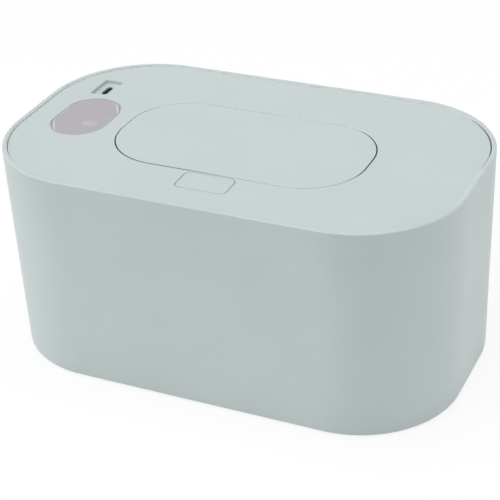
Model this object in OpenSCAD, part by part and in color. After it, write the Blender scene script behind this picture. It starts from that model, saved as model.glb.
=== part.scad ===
// Wipe warmer: a moulded tub, a lift-off heated lid and a sprung dispensing flap.
// Lengths are in millimetres. The origin is the middle of the footprint, on the
// surface that the feet stand on. X runs along the long side, -Y is the front.

/* [Tub] */
// Outside length at the rim
body_l = 240; // [232:1:250]
// Outside depth at the rim
body_d = 143; // [139:1:152]
// Height of the moulded tub without its feet
body_h = 112.2; // [95:0.1:135]
// Corner radius in plan at the rim
corner_r = 53.5; // [52:0.1:56]
// Lean of each side, from rim to base
draft = 1.8; // [0.6:0.1:2.6]
// Side wall thickness
wall_t = 2.6; // [2.1:0.1:3.2]
// Floor thickness
floor_t = 2.8; // [2.4:0.1:4]
// Rim thickness beside the lid
rim_t = 2.45; // [2:0.05:2.8]
// Rounding of the rim's outer edge
rim_round = 0.9; // [0.4:0.1:1.1]
// Rounding of the bottom edge
base_round = 1.4; // [1:0.1:5]
// Rounding between the wall and the floor inside
inside_round = 4; // [1:0.5:8]
// Thickness of the ribs that carry the lid
rib_t = 2; // [1.4:0.1:3]
// Distance between ribs on the long sides
rib_pitch = 34; // [26:1:40]

/* [Feet] */
// Foot diameter
foot_d = 16; // [10:1:20]
// Height of a foot below the tub
foot_proud = 0.8; // [0.6:0.1:2]
// Depth of a foot's pocket in the floor
foot_pocket = 1.2; // [0.8:0.1:1.5]
// Distance of each foot outside its corner centre, both ways
foot_out = 14; // [8:1:20]

/* [Lid] */
// Gap between the lid and the rim
lid_gap = 0.35; // [0.3:0.05:1]
// Drop of the lid's face below the rim
lid_drop = 0.7; // [0:0.1:2]
// Thickness of the lid's top wall
cover_t = 2.2; // [2:0.1:2.6]
// Rounding of the lid's top edge
cover_round = 0.4; // [0.2:0.1:1]
// Depth of the lid's skirt
skirt_h = 10; // [8:0.5:12]
// Thickness of the lid's skirt
skirt_t = 2; // [1.5:0.1:2.2]
// Wall thickness of the lid's lower shell
base_t = 2; // [1.6:0.1:2.4]
// Depth from the lid's face to the floor of the lower shell
cavity_h = 18; // [17.6:0.2:24]
// Thickness of the lid's seal
seal_h = 2; // [1.5:0.1:3]
// Rounding of the edges of the openings in the lid's face
edge_round = 0.3; // [0.1:0.05:0.4]

/* [Flap] */
// Distance from the lid's left edge to the flap's well
left_land = 51.9; // [48:0.1:60]
// Distance from the flap's well to the lid's right edge
right_land = 50.9; // [44:0.1:60]
// Distance from the lid's front edge to the flap's well
front_land = 31.15; // [28:0.05:36]
// Distance from the flap's well to the lid's rear edge
rear_land = 36.35; // [33:0.05:42]
// Straight part of the flap's two ends
flap_side = 9.4; // [2:0.1:30]
// Gap round the flap
flap_gap = 0.55; // [0.45:0.05:0.8]
// Thickness of the flap's outer panel
panel_t = 1.6; // [1.2:0.1:1.8]
// Thickness of the flap's inner frame
frame_t = 1.2; // [1:0.1:1.6]
// Depth of the well under the flap
well_h = 13.6; // [13.4:0.1:15]
// Wall thickness of the well
well_t = 1.8; // [1.4:0.1:2.2]

/* [Flap hinge] */
// Hinge pin radius
pin_r = 1; // [0.8:0.1:1.1]
// Play between a pin and its knuckle
pin_play = 0.05; // [0.02:0.01:0.09]
// Depth of the hinge axis below the lid's face
hinge_h = 3.7; // [3.6:0.05:3.9]
// Distance from the well's rear edge to the hinge axis
hinge_back = 5.9; // [5.6:0.1:6.2]
// Thickness of the lid's face over the knuckles
hinge_skin = 1.4; // [1:0.1:1.5]
// Outside radius of a knuckle
knuckle_r = 2; // [1.8:0.05:2.05]
// Inside radius of the swan-neck arm
neck_r = 7.3; // [7.2:0.05:7.4]
// Thickness of the swan-neck arm
neck_t = 2.1; // [1.6:0.1:2.2]
// Width of an arm
arm_w = 6; // [4:0.5:7]
// Distance from the well's ends to the middle of each hinge pocket
hinge_inset = 35.8; // [34:0.1:42]
// Width of a hinge pocket
pocket_w = 16; // [14:0.5:18]

/* [Outlet] */
// Distance from the well's ends to the dispensing opening
outlet_side = 17.8; // [14:0.1:26]
// Distance from the well's front edge to the dispensing opening
outlet_front = 15.55; // [14:0.05:20]
// Distance from the dispensing opening to the well's rear edge
outlet_rear = 18.35; // [17:0.05:22]
// Depth of the collar's lip below the lid's face
collar_h = 5.6; // [5.2:0.1:6.5]
// Wall thickness of the collar
collar_t = 1.8; // [1.4:0.1:2.2]
// Distance from the opening's ends to the slot in the outlet membrane
slot_inset = 15; // [11:0.5:22]
// Width of the slot in the outlet membrane
slot_w = 12; // [10:1:16]

/* [Release button] */
// Button length
button_l = 26.2; // [24:0.1:27]
// Distance from the lid's front edge to the button
button_inset = 14.75; // [13.5:0.05:17]
// Corner radius of the button
button_r = 3.3; // [2:0.1:5]
// Gap round the button
button_gap = 0.3; // [0.2:0.05:0.4]
// Land between the button and the flap's well
button_land = 0.9; // [0.8:0.1:1.4]
// Travel of the button
button_travel = 2.4; // [1.8:0.1:2.6]

/* [Display and power] */
// Window width
window_l = 29.6; // [26:0.1:30]
// Distance from the lid's left edge to the middle of the window
window_inset = 28.1; // [27:0.1:30]
// Distance from the lid's front edge to the window
window_front = 44.9; // [40:0.1:48]
// Distance from the window to the lid's rear edge
window_rear = 48.9; // [48:0.1:54]
// Pocket width round the power socket
socket_pocket_l = 10.5; // [9:0.1:12]
// Pocket depth, front to back
socket_pocket_d = 17.5; // [15:0.1:18]
// Depth of the pocket's floor below the lid's face
socket_pocket_h = 1.9; // [1.4:0.1:2.4]
// Middle of the socket, to the left of the window's middle
socket_dx = 6.8; // [5:0.1:8]
// Distance from the middle of the socket to the lid's rear edge
socket_rear = 35.7; // [32:0.1:36]
// Socket mouth, long side
socket_l = 8.94; // [8.5:0.02:9.2]
// Socket mouth, short side
socket_w = 3.26; // [3:0.02:3.4]
// Depth of the control board below the lid's face
board_h = 11; // [10.4:0.1:12]
// Thickness of the control board
board_t = 1.6; // [1:0.1:2]

/* [Heater] */
// Width of the lower shell's edge outside the heater tray
tray_edge = 16.5; // [15:0.5:20]
// Depth of the heater tray
tray_h = 4; // [3.8:0.1:6]
// Thickness of the heat plate
plate_t = 1.2; // [0.8:0.1:1.5]
// Thickness of the heater film
film_t = 0.4; // [0.3:0.05:0.6]

/* [Screws] */
// Shank radius of the lid's screws
lid_screw_r = 1.45; // [1.2:0.05:1.6]
// Shank radius of the small screws
small_screw_r = 1; // [0.8:0.05:1.1]

/* [Hidden] */

$fn = 96;
cut = 1;            // how far a cutting solid runs past the face that it cuts
snug = 0.02;        // gap between pieces fixed to each other
easy = 0.2;         // gap between pieces that drop together
soft_gap = 0.3;     // gap between a soft edge and the wall beside it
thread_gap = 0.05;  // gap between a screw's shank and its pilot hole

mint = [0.78, 0.85, 0.84];
grey_mint = [0.70, 0.77, 0.76];
silicone = [0.88, 0.90, 0.89];
rubber = [0.25, 0.26, 0.27];
steel = [0.72, 0.73, 0.75];

// plan: straight parts between the corner centres
half_l = body_l / 2 - corner_r;
half_d = body_d / 2 - corner_r;

// heights and plan radii, the radii measured from the corner centres
base_z = foot_proud;
rim_z = base_z + body_h;
lid_z = rim_z - lid_drop;
rim_in_r = corner_r - rim_t;
lid_r = rim_in_r - lid_gap;
lid_half_l = half_l + lid_r;
lid_half_d = half_d + lid_r;
cover_flat_r = lid_r - 5;
skirt_in_r = lid_r - skirt_t;
flange_r = skirt_in_r - easy;
flange_w = 5.3;
shell_r = flange_r - flange_w + base_t;
seat_h = skirt_h + seal_h;
seat_r = shell_r + 0.8;
shell_bottom_h = cavity_h + base_t;
tray_r = shell_r - tray_edge;
tray_in_r = tray_r - base_t;
tray_bottom_h = cavity_h + base_t + tray_h;
floor_r = 30;
rim_in_round = 0.4;
rib_bevel = 0.8;
foot_edge = 0.5;

// flap, well and hinge: the well's edges are set in from the lid's
well_left_x = left_land - lid_half_l;
well_right_x = lid_half_l - right_land;
well_front_y = front_land - lid_half_d;
well_rear_y = lid_half_d - rear_land;
opening_l = well_right_x - well_left_x;
opening_d = well_rear_y - well_front_y;
flap_x = (well_left_x + well_right_x) / 2;
flap_y = (well_front_y + well_rear_y) / 2;
flap_l = opening_l - 2 * flap_gap;
flap_d = opening_d - 2 * flap_gap;
flap_r = (flap_d - flap_side) / 2;
opening_r = flap_r + flap_gap;
hinge_x = opening_l / 2 - hinge_inset;
hinge_y = well_rear_y + hinge_back;
hinge_z = lid_z - hinge_h;
pocket_rear_y = hinge_y + knuckle_r + 2;
pocket_root = 4;
well_bottom_h = well_h + well_t;
flap_edge_h = 2.4;
flap_edge_w = 1.6;
flap_taper = 0.75;
flap_taper_from = 0.6;
flap_flat_r = flap_r - 6;
flap_top_round = 0.3;
pad_t = 1.4;
pad_l = 6.7;
stem_angle = 276;
bow_angle = 280;

// dispensing opening
outlet_l = opening_l - 2 * outlet_side;
outlet_d = opening_d - outlet_front - outlet_rear;
outlet_y = well_front_y + outlet_front + outlet_d / 2;
slot_l = outlet_l - 2 * slot_inset;
membrane_t = 1.5;
membrane_edge = 0.6 * collar_t;

// release button and latch
button_rear_y = well_front_y - button_land - button_gap;
button_front_y = button_inset - lid_half_d;
button_d = button_rear_y - button_front_y;
button_y = (button_rear_y + button_front_y) / 2;
button_edge = 0.3;
button_wall = 1.2;
button_top_t = cover_t - 0.2;
button_low_h = cover_t + 2.4;
tab_w = 1.5;
tab_t = 1.2;
tab_root = 1.2;
tab_room = tab_w + 0.5;
sleeve_h = cover_t + tab_t + button_travel + 1.8;
sleeve_t = 1.5;
latch_w = 8;
ramp_w = 2.6;
strip_t = 0.5;
tongue_h = 7.85;
tongue_play = 0.45;
latch_y = well_front_y - 4.65;
ramp_rise = 3.3;
ramp_foot_h = tongue_h + 0.45;
ramp_gap = 0.3;
wedge_bottom_h = ramp_foot_h + 0.3;
latch_seat_h = ramp_foot_h + 4.2;
latch_foot = 2.2;
latch_screw_y = 2.75 + base_t - half_d - shell_r;
catch_front_y = well_front_y + 0.7;
catch_t = 1.7;
catch_w = 10;
catch_pad = 6;
catch_h = tongue_h + 2.55;
catch_reach = 0.75 * (button_travel - ramp_gap * sqrt(2));

// display, socket and board
window_x = window_inset - lid_half_l;
window_d = 2 * lid_half_d - window_front - window_rear;
window_y = (window_front - window_rear) / 2;
window_t = 1.6;
window_edge = 0.5;
window_lip = 2.2;
window_low_h = 3.2;
ring_h = window_low_h + 1.2;
ring_t = 1.5;
socket_x = window_x - socket_dx;
socket_y = lid_half_d - socket_rear;
socket_pocket_r = 1.6;
socket_skin = 1.4;
socket_wall = 0.3;
socket_back_h = board_h - 1.4;
display_l = 20;
display_d = 0.32 * window_d;
display_y = window_y + 0.14 * window_d;
display_top_h = window_low_h + easy;
digit_l = 6;
digit_d = 0.69 * display_d;
bar_w = 1;
bar_h = 0.4;
touch_y = window_y - 0.3 * window_d;
board_r = shell_r - base_t - 1;
board_right = well_left_x - well_t - 4.2;
board_front = window_y - window_d / 2 - 5.7;
board_rear = socket_y + 12;
board_bottom_h = board_h + board_t;
board_bosses = [
    [window_x - 16.9, socket_y - 12],
    [board_right - 3.7, socket_y - 6],
    [window_x - 15.4, board_front + 4],
    [board_right - 3.7, board_front + 3.5]
];
small_boss_r = 2.5;
small_hole = 6;
lid_boss_r = 3.4;
lid_hole = 9;
lid_boss_out = shell_r - 6.5;
lid_bosses = concat(
    [for (x = [-1, 1], y = [-1, 1]) [x * (half_l - 14.5), y * (half_d + lid_boss_out)]],
    [for (b = [[1, -1, 25], [1, 1, 25], [-1, -1, 25], [-1, 1, 63]])
        [b[0] * (half_l + lid_boss_out * cos(b[2])), b[1] * (half_d + lid_boss_out * sin(b[2]))]]
);

// sensor bay: a hole in the insulation, open to the film below
bay_x = window_x + 16;
bay_y = window_y - 2;
bay_l = 26;
bay_d = 30;
film_h = tray_bottom_h - plate_t - film_t;
fuse = [4, 9, 1.9];
thermistor_l = 6;

// leads: their plug-in housings hang from the board, over a hole in the lower shell
lead_r = 0.6;
lead_x = bay_x - 8.2;
lead_pitch = 3;
lead_bend = 2;
housing = [4.4, 5.6, 4];
lead_top_h = board_bottom_h + housing[2];
lead_hole = [6, 12];

// height at a depth below the lid's face
function below(h) = lid_z - h;

// plan radius of the outside wall at a height
function side_r(z) = corner_r - draft * (rim_z - z) / body_h;

// points of an arc, in steps of one nth of its angle
function arc(x, y, r, from, to, n) =
    [for (i = [0:n]) [x + r * cos(from + (to - from) * i / n),
                      y + r * sin(from + (to - from) * i / n)]];

// ---------- shared forms ----------

module rounded(l, d, r) {
    square([l, d - 2 * r], center = true);
    square([l - 2 * r, d], center = true);
    for (x = [-1, 1], y = [-1, 1])
        translate([x * (l / 2 - r), y * (d / 2 - r)]) circle(r);
}

module stadium(l, d) {
    r = min(l, d) / 2;
    square([l - (l > d ? 2 * r : 0), d - (l > d ? 0 : 2 * r)], center = true);
    for (s = [-1, 1])
        translate([l > d ? s * (l / 2 - r) : 0, l > d ? 0 : s * (d / 2 - r)]) circle(r);
}

// outline that follows the tub, with its corners at plan radius r
module plan(r) {
    rounded(2 * (half_l + r), 2 * (half_d + r), r);
}

// a flat outline made solid between two depths below the lid's face
module slab(top, bottom) {
    translate([0, 0, below(bottom)]) linear_extrude(bottom - top) children();
}

// a wall section, drawn as radius and height, carried round a rounded rectangle
module around(hx, hy) {
    for (c = [[hx, hy, 0], [-hx, hy, 90], [-hx, -hy, 180], [hx, -hy, 270]])
        translate([c[0], c[1], 0]) rotate([0, 0, c[2]])
            rotate_extrude(angle = 90) children();
    if (hx > 0) for (s = [[-hx, hy, 90], [hx, -hy, 270]])
        translate([s[0], s[1], 0]) rotate([90, 0, s[2]]) linear_extrude(2 * hx) children();
    if (hy > 0) for (s = [[hx, hy, 0], [-hx, -hy, 180]])
        translate([s[0], s[1], 0]) rotate([90, 0, s[2]]) linear_extrude(2 * hy) children();
}

// the outer part of a plate flush with the lid's face, its top edge rounded by e
module plate_edge(l, d, r, w, bottom, e) {
    around(l / 2 - r, d / 2 - r) polygon(concat(
        [[r - w, below(bottom)], [r, below(bottom)]],
        arc(r - e, lid_z - e, e, 0, 90, 4),
        [[r - w, lid_z]]
    ));
}

// what is cut away to round the top edge of an opening in the lid's face
module lip(l, d, r) {
    around(l / 2 - r, d / 2 - r) polygon(concat(
        [[r - cut, lid_z - edge_round], [r - cut, lid_z + cut], [r + edge_round, lid_z + cut]],
        arc(r + edge_round, lid_z - edge_round, edge_round, 90, 180, 4)
    ));
}

// a thin fin whose section is drawn as radius and height, standing at an angle in plan
module fin(x, y, angle, t) {
    translate([x, y, 0]) rotate([0, 0, angle]) rotate([90, 0, 0])
        translate([0, 0, -t / 2]) linear_extrude(t) children();
}

// a section drawn as depth and height, made solid along the long side
module across(x, w) {
    translate([x - w / 2, 0, 0]) rotate([90, 0, 90]) linear_extrude(w) children();
}

module post(p, r, top, bottom) {
    translate([p[0], p[1], below(bottom)]) cylinder(r = r, h = bottom - top);
}

// a pan-head screw driven up from below, its head's bearing face at depth top
module screw(p, top, shank_r, length) {
    head_r = 1.95 * shank_r;
    head_h = 1.25 * shank_r;
    translate([p[0], p[1], below(top)]) difference() {
        union() {
            cylinder(r = shank_r, h = length);
            translate([0, 0, -head_h]) cylinder(r1 = 0.78 * head_r, r2 = head_r, h = head_h);
        }
        for (a = [0, 90]) rotate([0, 0, a])
            translate([-0.6 * head_r, -0.16 * head_r, -head_h - cut])
                cube([1.2 * head_r, 0.32 * head_r, 0.5 * head_h + cut]);
    }
}

// a closed tube along a list of points that all lie on a smooth path
module wire(path, r, sides) {
    n = len(path);
    ring = [for (i = [0:n - 1])
        let (a = path[max(i - 1, 0)], b = path[min(i + 1, n - 1)],
             d = (b - a) / norm(b - a),
             side = cross(d, [1, 0.001, 0.002]), u = side / norm(side), v = cross(d, u))
        for (k = [0:sides - 1])
            path[i] + r * (cos(360 * k / sides) * u + sin(360 * k / sides) * v)];
    skin = [for (i = [0:n - 2], k = [0:sides - 1], half = [0, 1])
        let (a = i * sides + k, b = i * sides + (k + 1) % sides)
        half == 0 ? [a, b, b + sides] : [a, b + sides, a + sides]];
    polyhedron(ring, concat([[for (k = [sides - 1:-1:0]) k]], skin,
                            [[for (k = [0:sides - 1]) (n - 1) * sides + k]]));
}

// ---------- tub ----------

module tub_section() {
    low_r = side_r(base_z);
    in_low_r = low_r - wall_t;
    step_z = below(seat_h + 1);
    floor_z = base_z + floor_t;
    polygon(concat(
        [[floor_r, base_z]],
        arc(low_r - base_round, base_z + base_round, base_round, -90, 0, 6),
        arc(corner_r - rim_round, rim_z - rim_round, rim_round, 0, 90, 4),
        arc(rim_in_r + rim_in_round, rim_z - rim_in_round, rim_in_round, 90, 180, 2),
        [[rim_in_r, step_z], [side_r(step_z) - wall_t, step_z - 1]],
        arc(in_low_r - inside_round, floor_z + inside_round, inside_round, 0, -90, 4),
        [[floor_r, floor_z]]
    ));
}

// rib section: its top carries the lid's seal, its back is sunk in the wall
module rib_section() {
    floor_z = base_z + floor_t - 0.5;
    top_z = below(seat_h);
    polygon([
        [seat_r, floor_z],
        [side_r(floor_z) - wall_t + 1, floor_z],
        [side_r(top_z) - wall_t + 1, top_z],
        [seat_r + rib_bevel, top_z],
        [seat_r, top_z - rib_bevel]
    ]);
}

module tub() color(mint) difference() {
    union() {
        around(half_l, half_d) tub_section();
        translate([0, 0, base_z]) linear_extrude(floor_t) plan(floor_r + cut);
        for (k = [-1.5:1:1.5]) {
            fin(k * rib_pitch, half_d, 90, rib_t) rib_section();
            fin(k * rib_pitch, -half_d, 270, rib_t) rib_section();
        }
        for (y = [-0.75, 0.75]) {
            fin(half_l, y * half_d, 0, rib_t) rib_section();
            fin(-half_l, y * half_d, 180, rib_t) rib_section();
        }
        for (c = [[1, 1, 45], [-1, 1, 135], [-1, -1, 225], [1, -1, 315]])
            fin(c[0] * half_l, c[1] * half_d, c[2], rib_t) rib_section();
    }
    foot_places(base_z - cut) cylinder(d = foot_d + easy, h = foot_pocket + cut);
}

module foot_places(z) {
    for (x = [-1, 1], y = [-1, 1])
        translate([x * (half_l + foot_out), y * (half_d + foot_out), z]) children();
}

module rubber_feet() color(rubber) foot_places(0) {
    cylinder(d1 = foot_d - 2 * foot_edge, d2 = foot_d, h = foot_edge);
    translate([0, 0, foot_edge]) cylinder(d = foot_d, h = foot_proud + foot_pocket - foot_edge);
}

// ---------- lid: cover ----------

module cover_section() {
    polygon(concat(
        [[cover_flat_r, below(cover_t)], [skirt_in_r, below(cover_t)],
         [skirt_in_r, below(skirt_h)], [lid_r, below(skirt_h)]],
        arc(lid_r - cover_round, lid_z - cover_round, cover_round, 0, 90, 4),
        [[cover_flat_r, lid_z]]
    ));
}

module opening_outline(grow = 0) {
    translate([flap_x, flap_y])
        rounded(opening_l + 2 * grow, opening_d + 2 * grow, opening_r + grow);
}

module pocket_outline(grow = 0) {
    for (s = [-1, 1])
        translate([flap_x + s * hinge_x - pocket_w / 2 - grow, well_rear_y - pocket_root])
            square([pocket_w + 2 * grow, pocket_rear_y - well_rear_y + pocket_root + grow]);
}

module button_outline(grow) {
    translate([0, button_y]) rounded(button_l + 2 * grow, button_d + 2 * grow, button_r + grow);
}

module window_outline(grow) {
    translate([window_x, window_y]) stadium(window_l + 2 * grow, window_d + 2 * grow);
}

module socket_pocket_outline(grow) {
    translate([socket_x, socket_y])
        rounded(socket_pocket_l + 2 * grow, socket_pocket_d + 2 * grow, socket_pocket_r + grow);
}

module outlet_outline(grow) {
    translate([flap_x, outlet_y]) stadium(outlet_l + 2 * grow, outlet_d + 2 * grow);
}

// inside of the sleeve that guides the button and its side tabs
module sleeve_outline(grow) {
    half_w = button_l / 2 + button_gap + tab_room + grow;
    translate([-half_w, button_front_y - button_gap - grow])
        square([2 * half_w, button_d + 2 * button_gap + grow]);
}

module lid_cover() color(mint) union() {
    difference() {
        union() {
            around(half_l, half_d) cover_section();
            slab(0, cover_t) plan(cover_flat_r + cut);
            slab(cover_t / 2, well_bottom_h) opening_outline(well_t);
            slab(cover_t / 2, well_bottom_h) pocket_outline(well_t);
            slab(cover_t / 2, sleeve_h) sleeve_outline(sleeve_t);
            slab(cover_t / 2, ring_h) window_outline(ring_t);
            slab(cover_t / 2, socket_pocket_h + socket_skin) socket_pocket_outline(socket_skin);
            for (p = lid_bosses) post(p, lid_boss_r, cover_t / 2, cavity_h);
            for (p = board_bosses) post(p, small_boss_r, cover_t / 2, board_h);
            post([0, latch_screw_y], small_boss_r, cover_t / 2, latch_seat_h);
        }
        slab(-cut, well_h) opening_outline();
        translate([flap_x, flap_y, 0]) lip(opening_l, opening_d, opening_r);
        translate([0, button_y, 0])
            lip(button_l + 2 * button_gap, button_d + 2 * button_gap, button_r + button_gap);
        translate([socket_x, socket_y, 0])
            lip(socket_pocket_l, socket_pocket_d, socket_pocket_r);
        slab(hinge_skin, well_h) pocket_outline();
        slab(well_h - cut, well_bottom_h + cut) outlet_outline(0);
        slab(-cut, cover_t) button_outline(button_gap);
        slab(cover_t, sleeve_h + cut) sleeve_outline(0);
        slab(-cut, window_t) window_outline(easy / 4);
        slab(window_t - cut, ring_h + cut) window_outline(-window_lip);
        slab(-cut, socket_pocket_h) socket_pocket_outline(0);
        slab(0, socket_pocket_h + socket_skin + cut)
            translate([socket_x, socket_y]) stadium(socket_w + 2 * easy, socket_l + 2 * easy);
        for (p = lid_bosses) post(p, lid_screw_r + thread_gap, cavity_h - lid_hole, cavity_h + cut);
        for (p = board_bosses)
            post(p, small_screw_r + thread_gap, board_h - small_hole, board_h + cut);
        post([0, latch_screw_y], small_screw_r + thread_gap,
             latch_seat_h - small_hole, latch_seat_h + cut);
        across(0, latch_w + 3 * tongue_play)
            translate([well_front_y - well_t - cut, below(tongue_h + 1.1)])
                square([well_t + 2 * cut, 2.3]);
        for (s = [-1, 1])
            translate([flap_x + s * hinge_x - pocket_w / 2 - well_t - cut, hinge_y, hinge_z])
                rotate([0, 90, 0])
                    cylinder(r = pin_r + snug, h = pocket_w + 2 * well_t + 2 * cut);
    }
    slab(collar_h, well_bottom_h) difference() {
        outlet_outline(collar_t);
        outlet_outline(0);
    }
}

// ---------- lid: lower shell, seals and heater ----------

module base_section() {
    polygon([
        [flange_r, below(skirt_h - base_t)],
        [flange_r, below(skirt_h)],
        [shell_r, below(skirt_h)],
        [shell_r, below(shell_bottom_h - 1)],
        [shell_r - 1, below(shell_bottom_h)],
        [tray_r - 1, below(shell_bottom_h)],
        [tray_r - 1, below(cavity_h)],
        [shell_r - base_t, below(cavity_h)],
        [shell_r - base_t, below(skirt_h - base_t)]
    ]);
}

module lid_base() color(grey_mint) difference() {
    union() {
        around(half_l, half_d) base_section();
        slab(cavity_h, shell_bottom_h) plan(tray_r);
        slab(cavity_h + base_t / 2, tray_bottom_h) difference() {
            plan(tray_r);
            plan(tray_in_r);
        }
        slab(well_bottom_h, tray_bottom_h) outlet_outline(collar_t);
    }
    slab(well_bottom_h - cut, tray_bottom_h + cut) outlet_outline(0);
    slab(well_bottom_h - cut, well_bottom_h + membrane_t) outlet_outline(membrane_edge + easy / 2);
    for (p = lid_bosses) post(p, lid_screw_r + easy, cavity_h - cut, shell_bottom_h + cut);
    slab(cavity_h - cut, shell_bottom_h + cut)
        translate([lead_x, bay_y - 2.5 * lead_pitch]) rounded(lead_hole[0], lead_hole[1], 2);
}

module lid_seal() color(silicone) around(half_l, half_d)
    polygon([
        [shell_r + soft_gap, below(skirt_h)],
        [flange_r - 0.2, below(skirt_h)],
        [flange_r, below(skirt_h + 0.3)],
        [rim_in_r - soft_gap - 0.3, below(skirt_h + 0.3)],
        [rim_in_r - soft_gap, below(skirt_h + 0.6)],
        [rim_in_r - soft_gap - 0.2, below(skirt_h + 0.95)],
        [flange_r, below(skirt_h + 1.1)],
        [flange_r - 0.4, below(seat_h)],
        [shell_r + soft_gap, below(seat_h)]
    ]);

// membrane with a slot and cross cuts, clamped under the collar
module outlet_membrane() color(silicone)
    slab(well_bottom_h, well_bottom_h + membrane_t) difference() {
        outlet_outline(membrane_edge);
        translate([flap_x, outlet_y]) {
            stadium(slot_l, slot_w);
            for (k = [-1:1]) translate([k * slot_l / 3, 0]) stadium(2.4, slot_w + 10);
        }
    }

module heat_plate() color("silver")
    slab(tray_bottom_h - plate_t, tray_bottom_h) difference() {
        plan(tray_in_r - easy);
        outlet_outline(collar_t + easy);
    }

module heater_film() color("chocolate")
    slab(film_h, film_h + film_t) difference() {
        plan(tray_in_r - 3);
        outlet_outline(collar_t + 3);
    }

module insulation_pad() color("whitesmoke")
    slab(shell_bottom_h, film_h) difference() {
        plan(tray_in_r - 1);
        outlet_outline(collar_t + easy);
        translate([bay_x, bay_y]) rounded(bay_l, bay_d, 3);
    }

module thermistor() color("black") {
    r = (film_h - shell_bottom_h) / 2 - easy / 2;
    translate([bay_x - 2, bay_y - 1, below(film_h) + r])
        rotate([-90, 0, 0]) cylinder(r = r, h = thermistor_l);
}

module thermal_fuse() color("beige")
    translate([bay_x + 3, bay_y - 6, below(film_h)]) cube(fuse);

// four leads: two drop to the film, two turn towards the thermistor
module lead_wires() color("firebrick") {
    bend_h = film_h - lead_r - lead_bend;
    for (k = [4, 3])
        translate([lead_x, bay_y - k * lead_pitch, below(film_h)])
            cylinder(r = lead_r, h = film_h - lead_top_h);
    for (k = [2, 1])
        translate([lead_x, bay_y - k * lead_pitch, 0]) {
            translate([0, 0, below(bend_h)]) cylinder(r = lead_r, h = bend_h - lead_top_h);
            translate([lead_bend, 0, below(bend_h)]) rotate([90, 0, 0]) rotate([0, 0, 180])
                rotate_extrude(angle = 90) translate([lead_bend, 0]) circle(lead_r);
            translate([lead_bend, 0, below(film_h - lead_r)]) rotate([0, 90, 0])
                cylinder(r = lead_r, h = 3);
        }
}

// ---------- lid: display, socket and board ----------

module display_window() color([0.66, 0.63, 0.66]) {
    translate([window_x, window_y, 0])
        plate_edge(window_l, window_d, min(window_l, window_d) / 2, 3, window_t, window_edge);
    slab(0, window_t) window_outline(-2);
    slab(window_t, window_low_h) window_outline(-window_lip - easy);
}

module digit_display() color("dimgray")
    translate([window_x, display_y, 0]) difference() {
        slab(display_top_h, board_h) square([display_l, display_d], center = true);
        for (s = [-1, 1]) translate([s * 0.72 * digit_l, 0, 0])
            slab(display_top_h - cut, display_top_h + bar_h) digit_outline();
    }

// seven separate bars in the form of a figure eight
module digit_outline() {
    for (k = [-1:1]) translate([0, k * (digit_d - bar_w) / 2])
        square([digit_l - 2.6 * bar_w, bar_w], center = true);
    for (x = [-1, 1], y = [-1, 1])
        translate([x * (digit_l - bar_w) / 2, y * (digit_d - bar_w) / 4])
            square([bar_w, (digit_d - 3.6 * bar_w) / 2], center = true);
}

module touch_spring() color("gold") {
    turns = 5;
    mean_r = 3.2;
    rise = board_h - window_low_h - 1.1;
    translate([window_x, touch_y, below(board_h) + 0.5])
        wire([for (a = [0:24:360 * turns])
            [mean_r * cos(a), mean_r * sin(a), rise * a / 360 / turns]], 0.4, 6);
}

module board_outline() {
    intersection() {
        plan(board_r);
        translate([-body_l / 2, board_front])
            square([board_right + body_l / 2, board_rear - board_front]);
    }
}

module control_board() color("darkgreen") slab(board_h, board_bottom_h) difference() {
    board_outline();
    for (p = board_bosses) translate(p) circle(small_screw_r + 0.15);
}

module power_socket_shell() color(steel) {
    translate([socket_x, socket_y, 0]) {
        slab(socket_pocket_h + 0.3, board_h) difference() {
            stadium(socket_w, socket_l);
            stadium(socket_w - 2 * socket_wall, socket_l - 2 * socket_wall);
        }
        slab(socket_back_h, board_h) stadium(socket_w, socket_l);
    }
}

module power_socket_tongue() color("black")
    translate([socket_x, socket_y, 0]) slab(socket_pocket_h + 1, socket_back_h)
        square([0.7, 6.7], center = true);

// a block under the board: its length, depth and height, and the rounding of its corners
module chip(x, y, size, r) {
    translate([x, y, 0]) slab(board_bottom_h, board_bottom_h + size[2])
        rounded(size[0], size[1], r);
}

module controller_chip() color("black") chip(window_x - 3, window_y + 10, [5, 6.2, 1.3], 0.2);

module power_transistor() color("black") chip(window_x + 7, window_y + 10, [6.6, 6.2, 2.3], 0.3);

module power_inductor() color("dimgray") chip(socket_x, socket_y, [7.4, 7.4, 3.6], 1.2);

module storage_capacitor() color("silver")
    post([socket_x + 12, socket_y], 3.1, board_bottom_h, board_bottom_h + 4.6);

// two plug-in housings under the board; the leads start at their lower faces
module wire_connectors() color("ivory") {
    for (k = [3.5, 1.5])
        translate([lead_x, bay_y - k * lead_pitch, 0]) slab(board_bottom_h, lead_top_h)
            square([housing[0], housing[1]], center = true);
}

module board_screws() color(steel)
    for (p = board_bosses) screw(p, board_bottom_h, small_screw_r, board_t + small_hole - 1);

module lid_screws() color(steel)
    for (p = lid_bosses) screw(p, shell_bottom_h, lid_screw_r, base_t + lid_hole - 1);

// ---------- lid: latch and hinge ----------

// one straight length of spring strip between two points of its middle line
module strip_bar(a, b) {
    d = b - a;
    translate(a) rotate(atan2(d[1], d[0])) translate([0, -strip_t / 2])
        square([norm(d), strip_t]);
    for (p = [a, b]) translate(p) circle(strip_t / 2);
}

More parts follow.
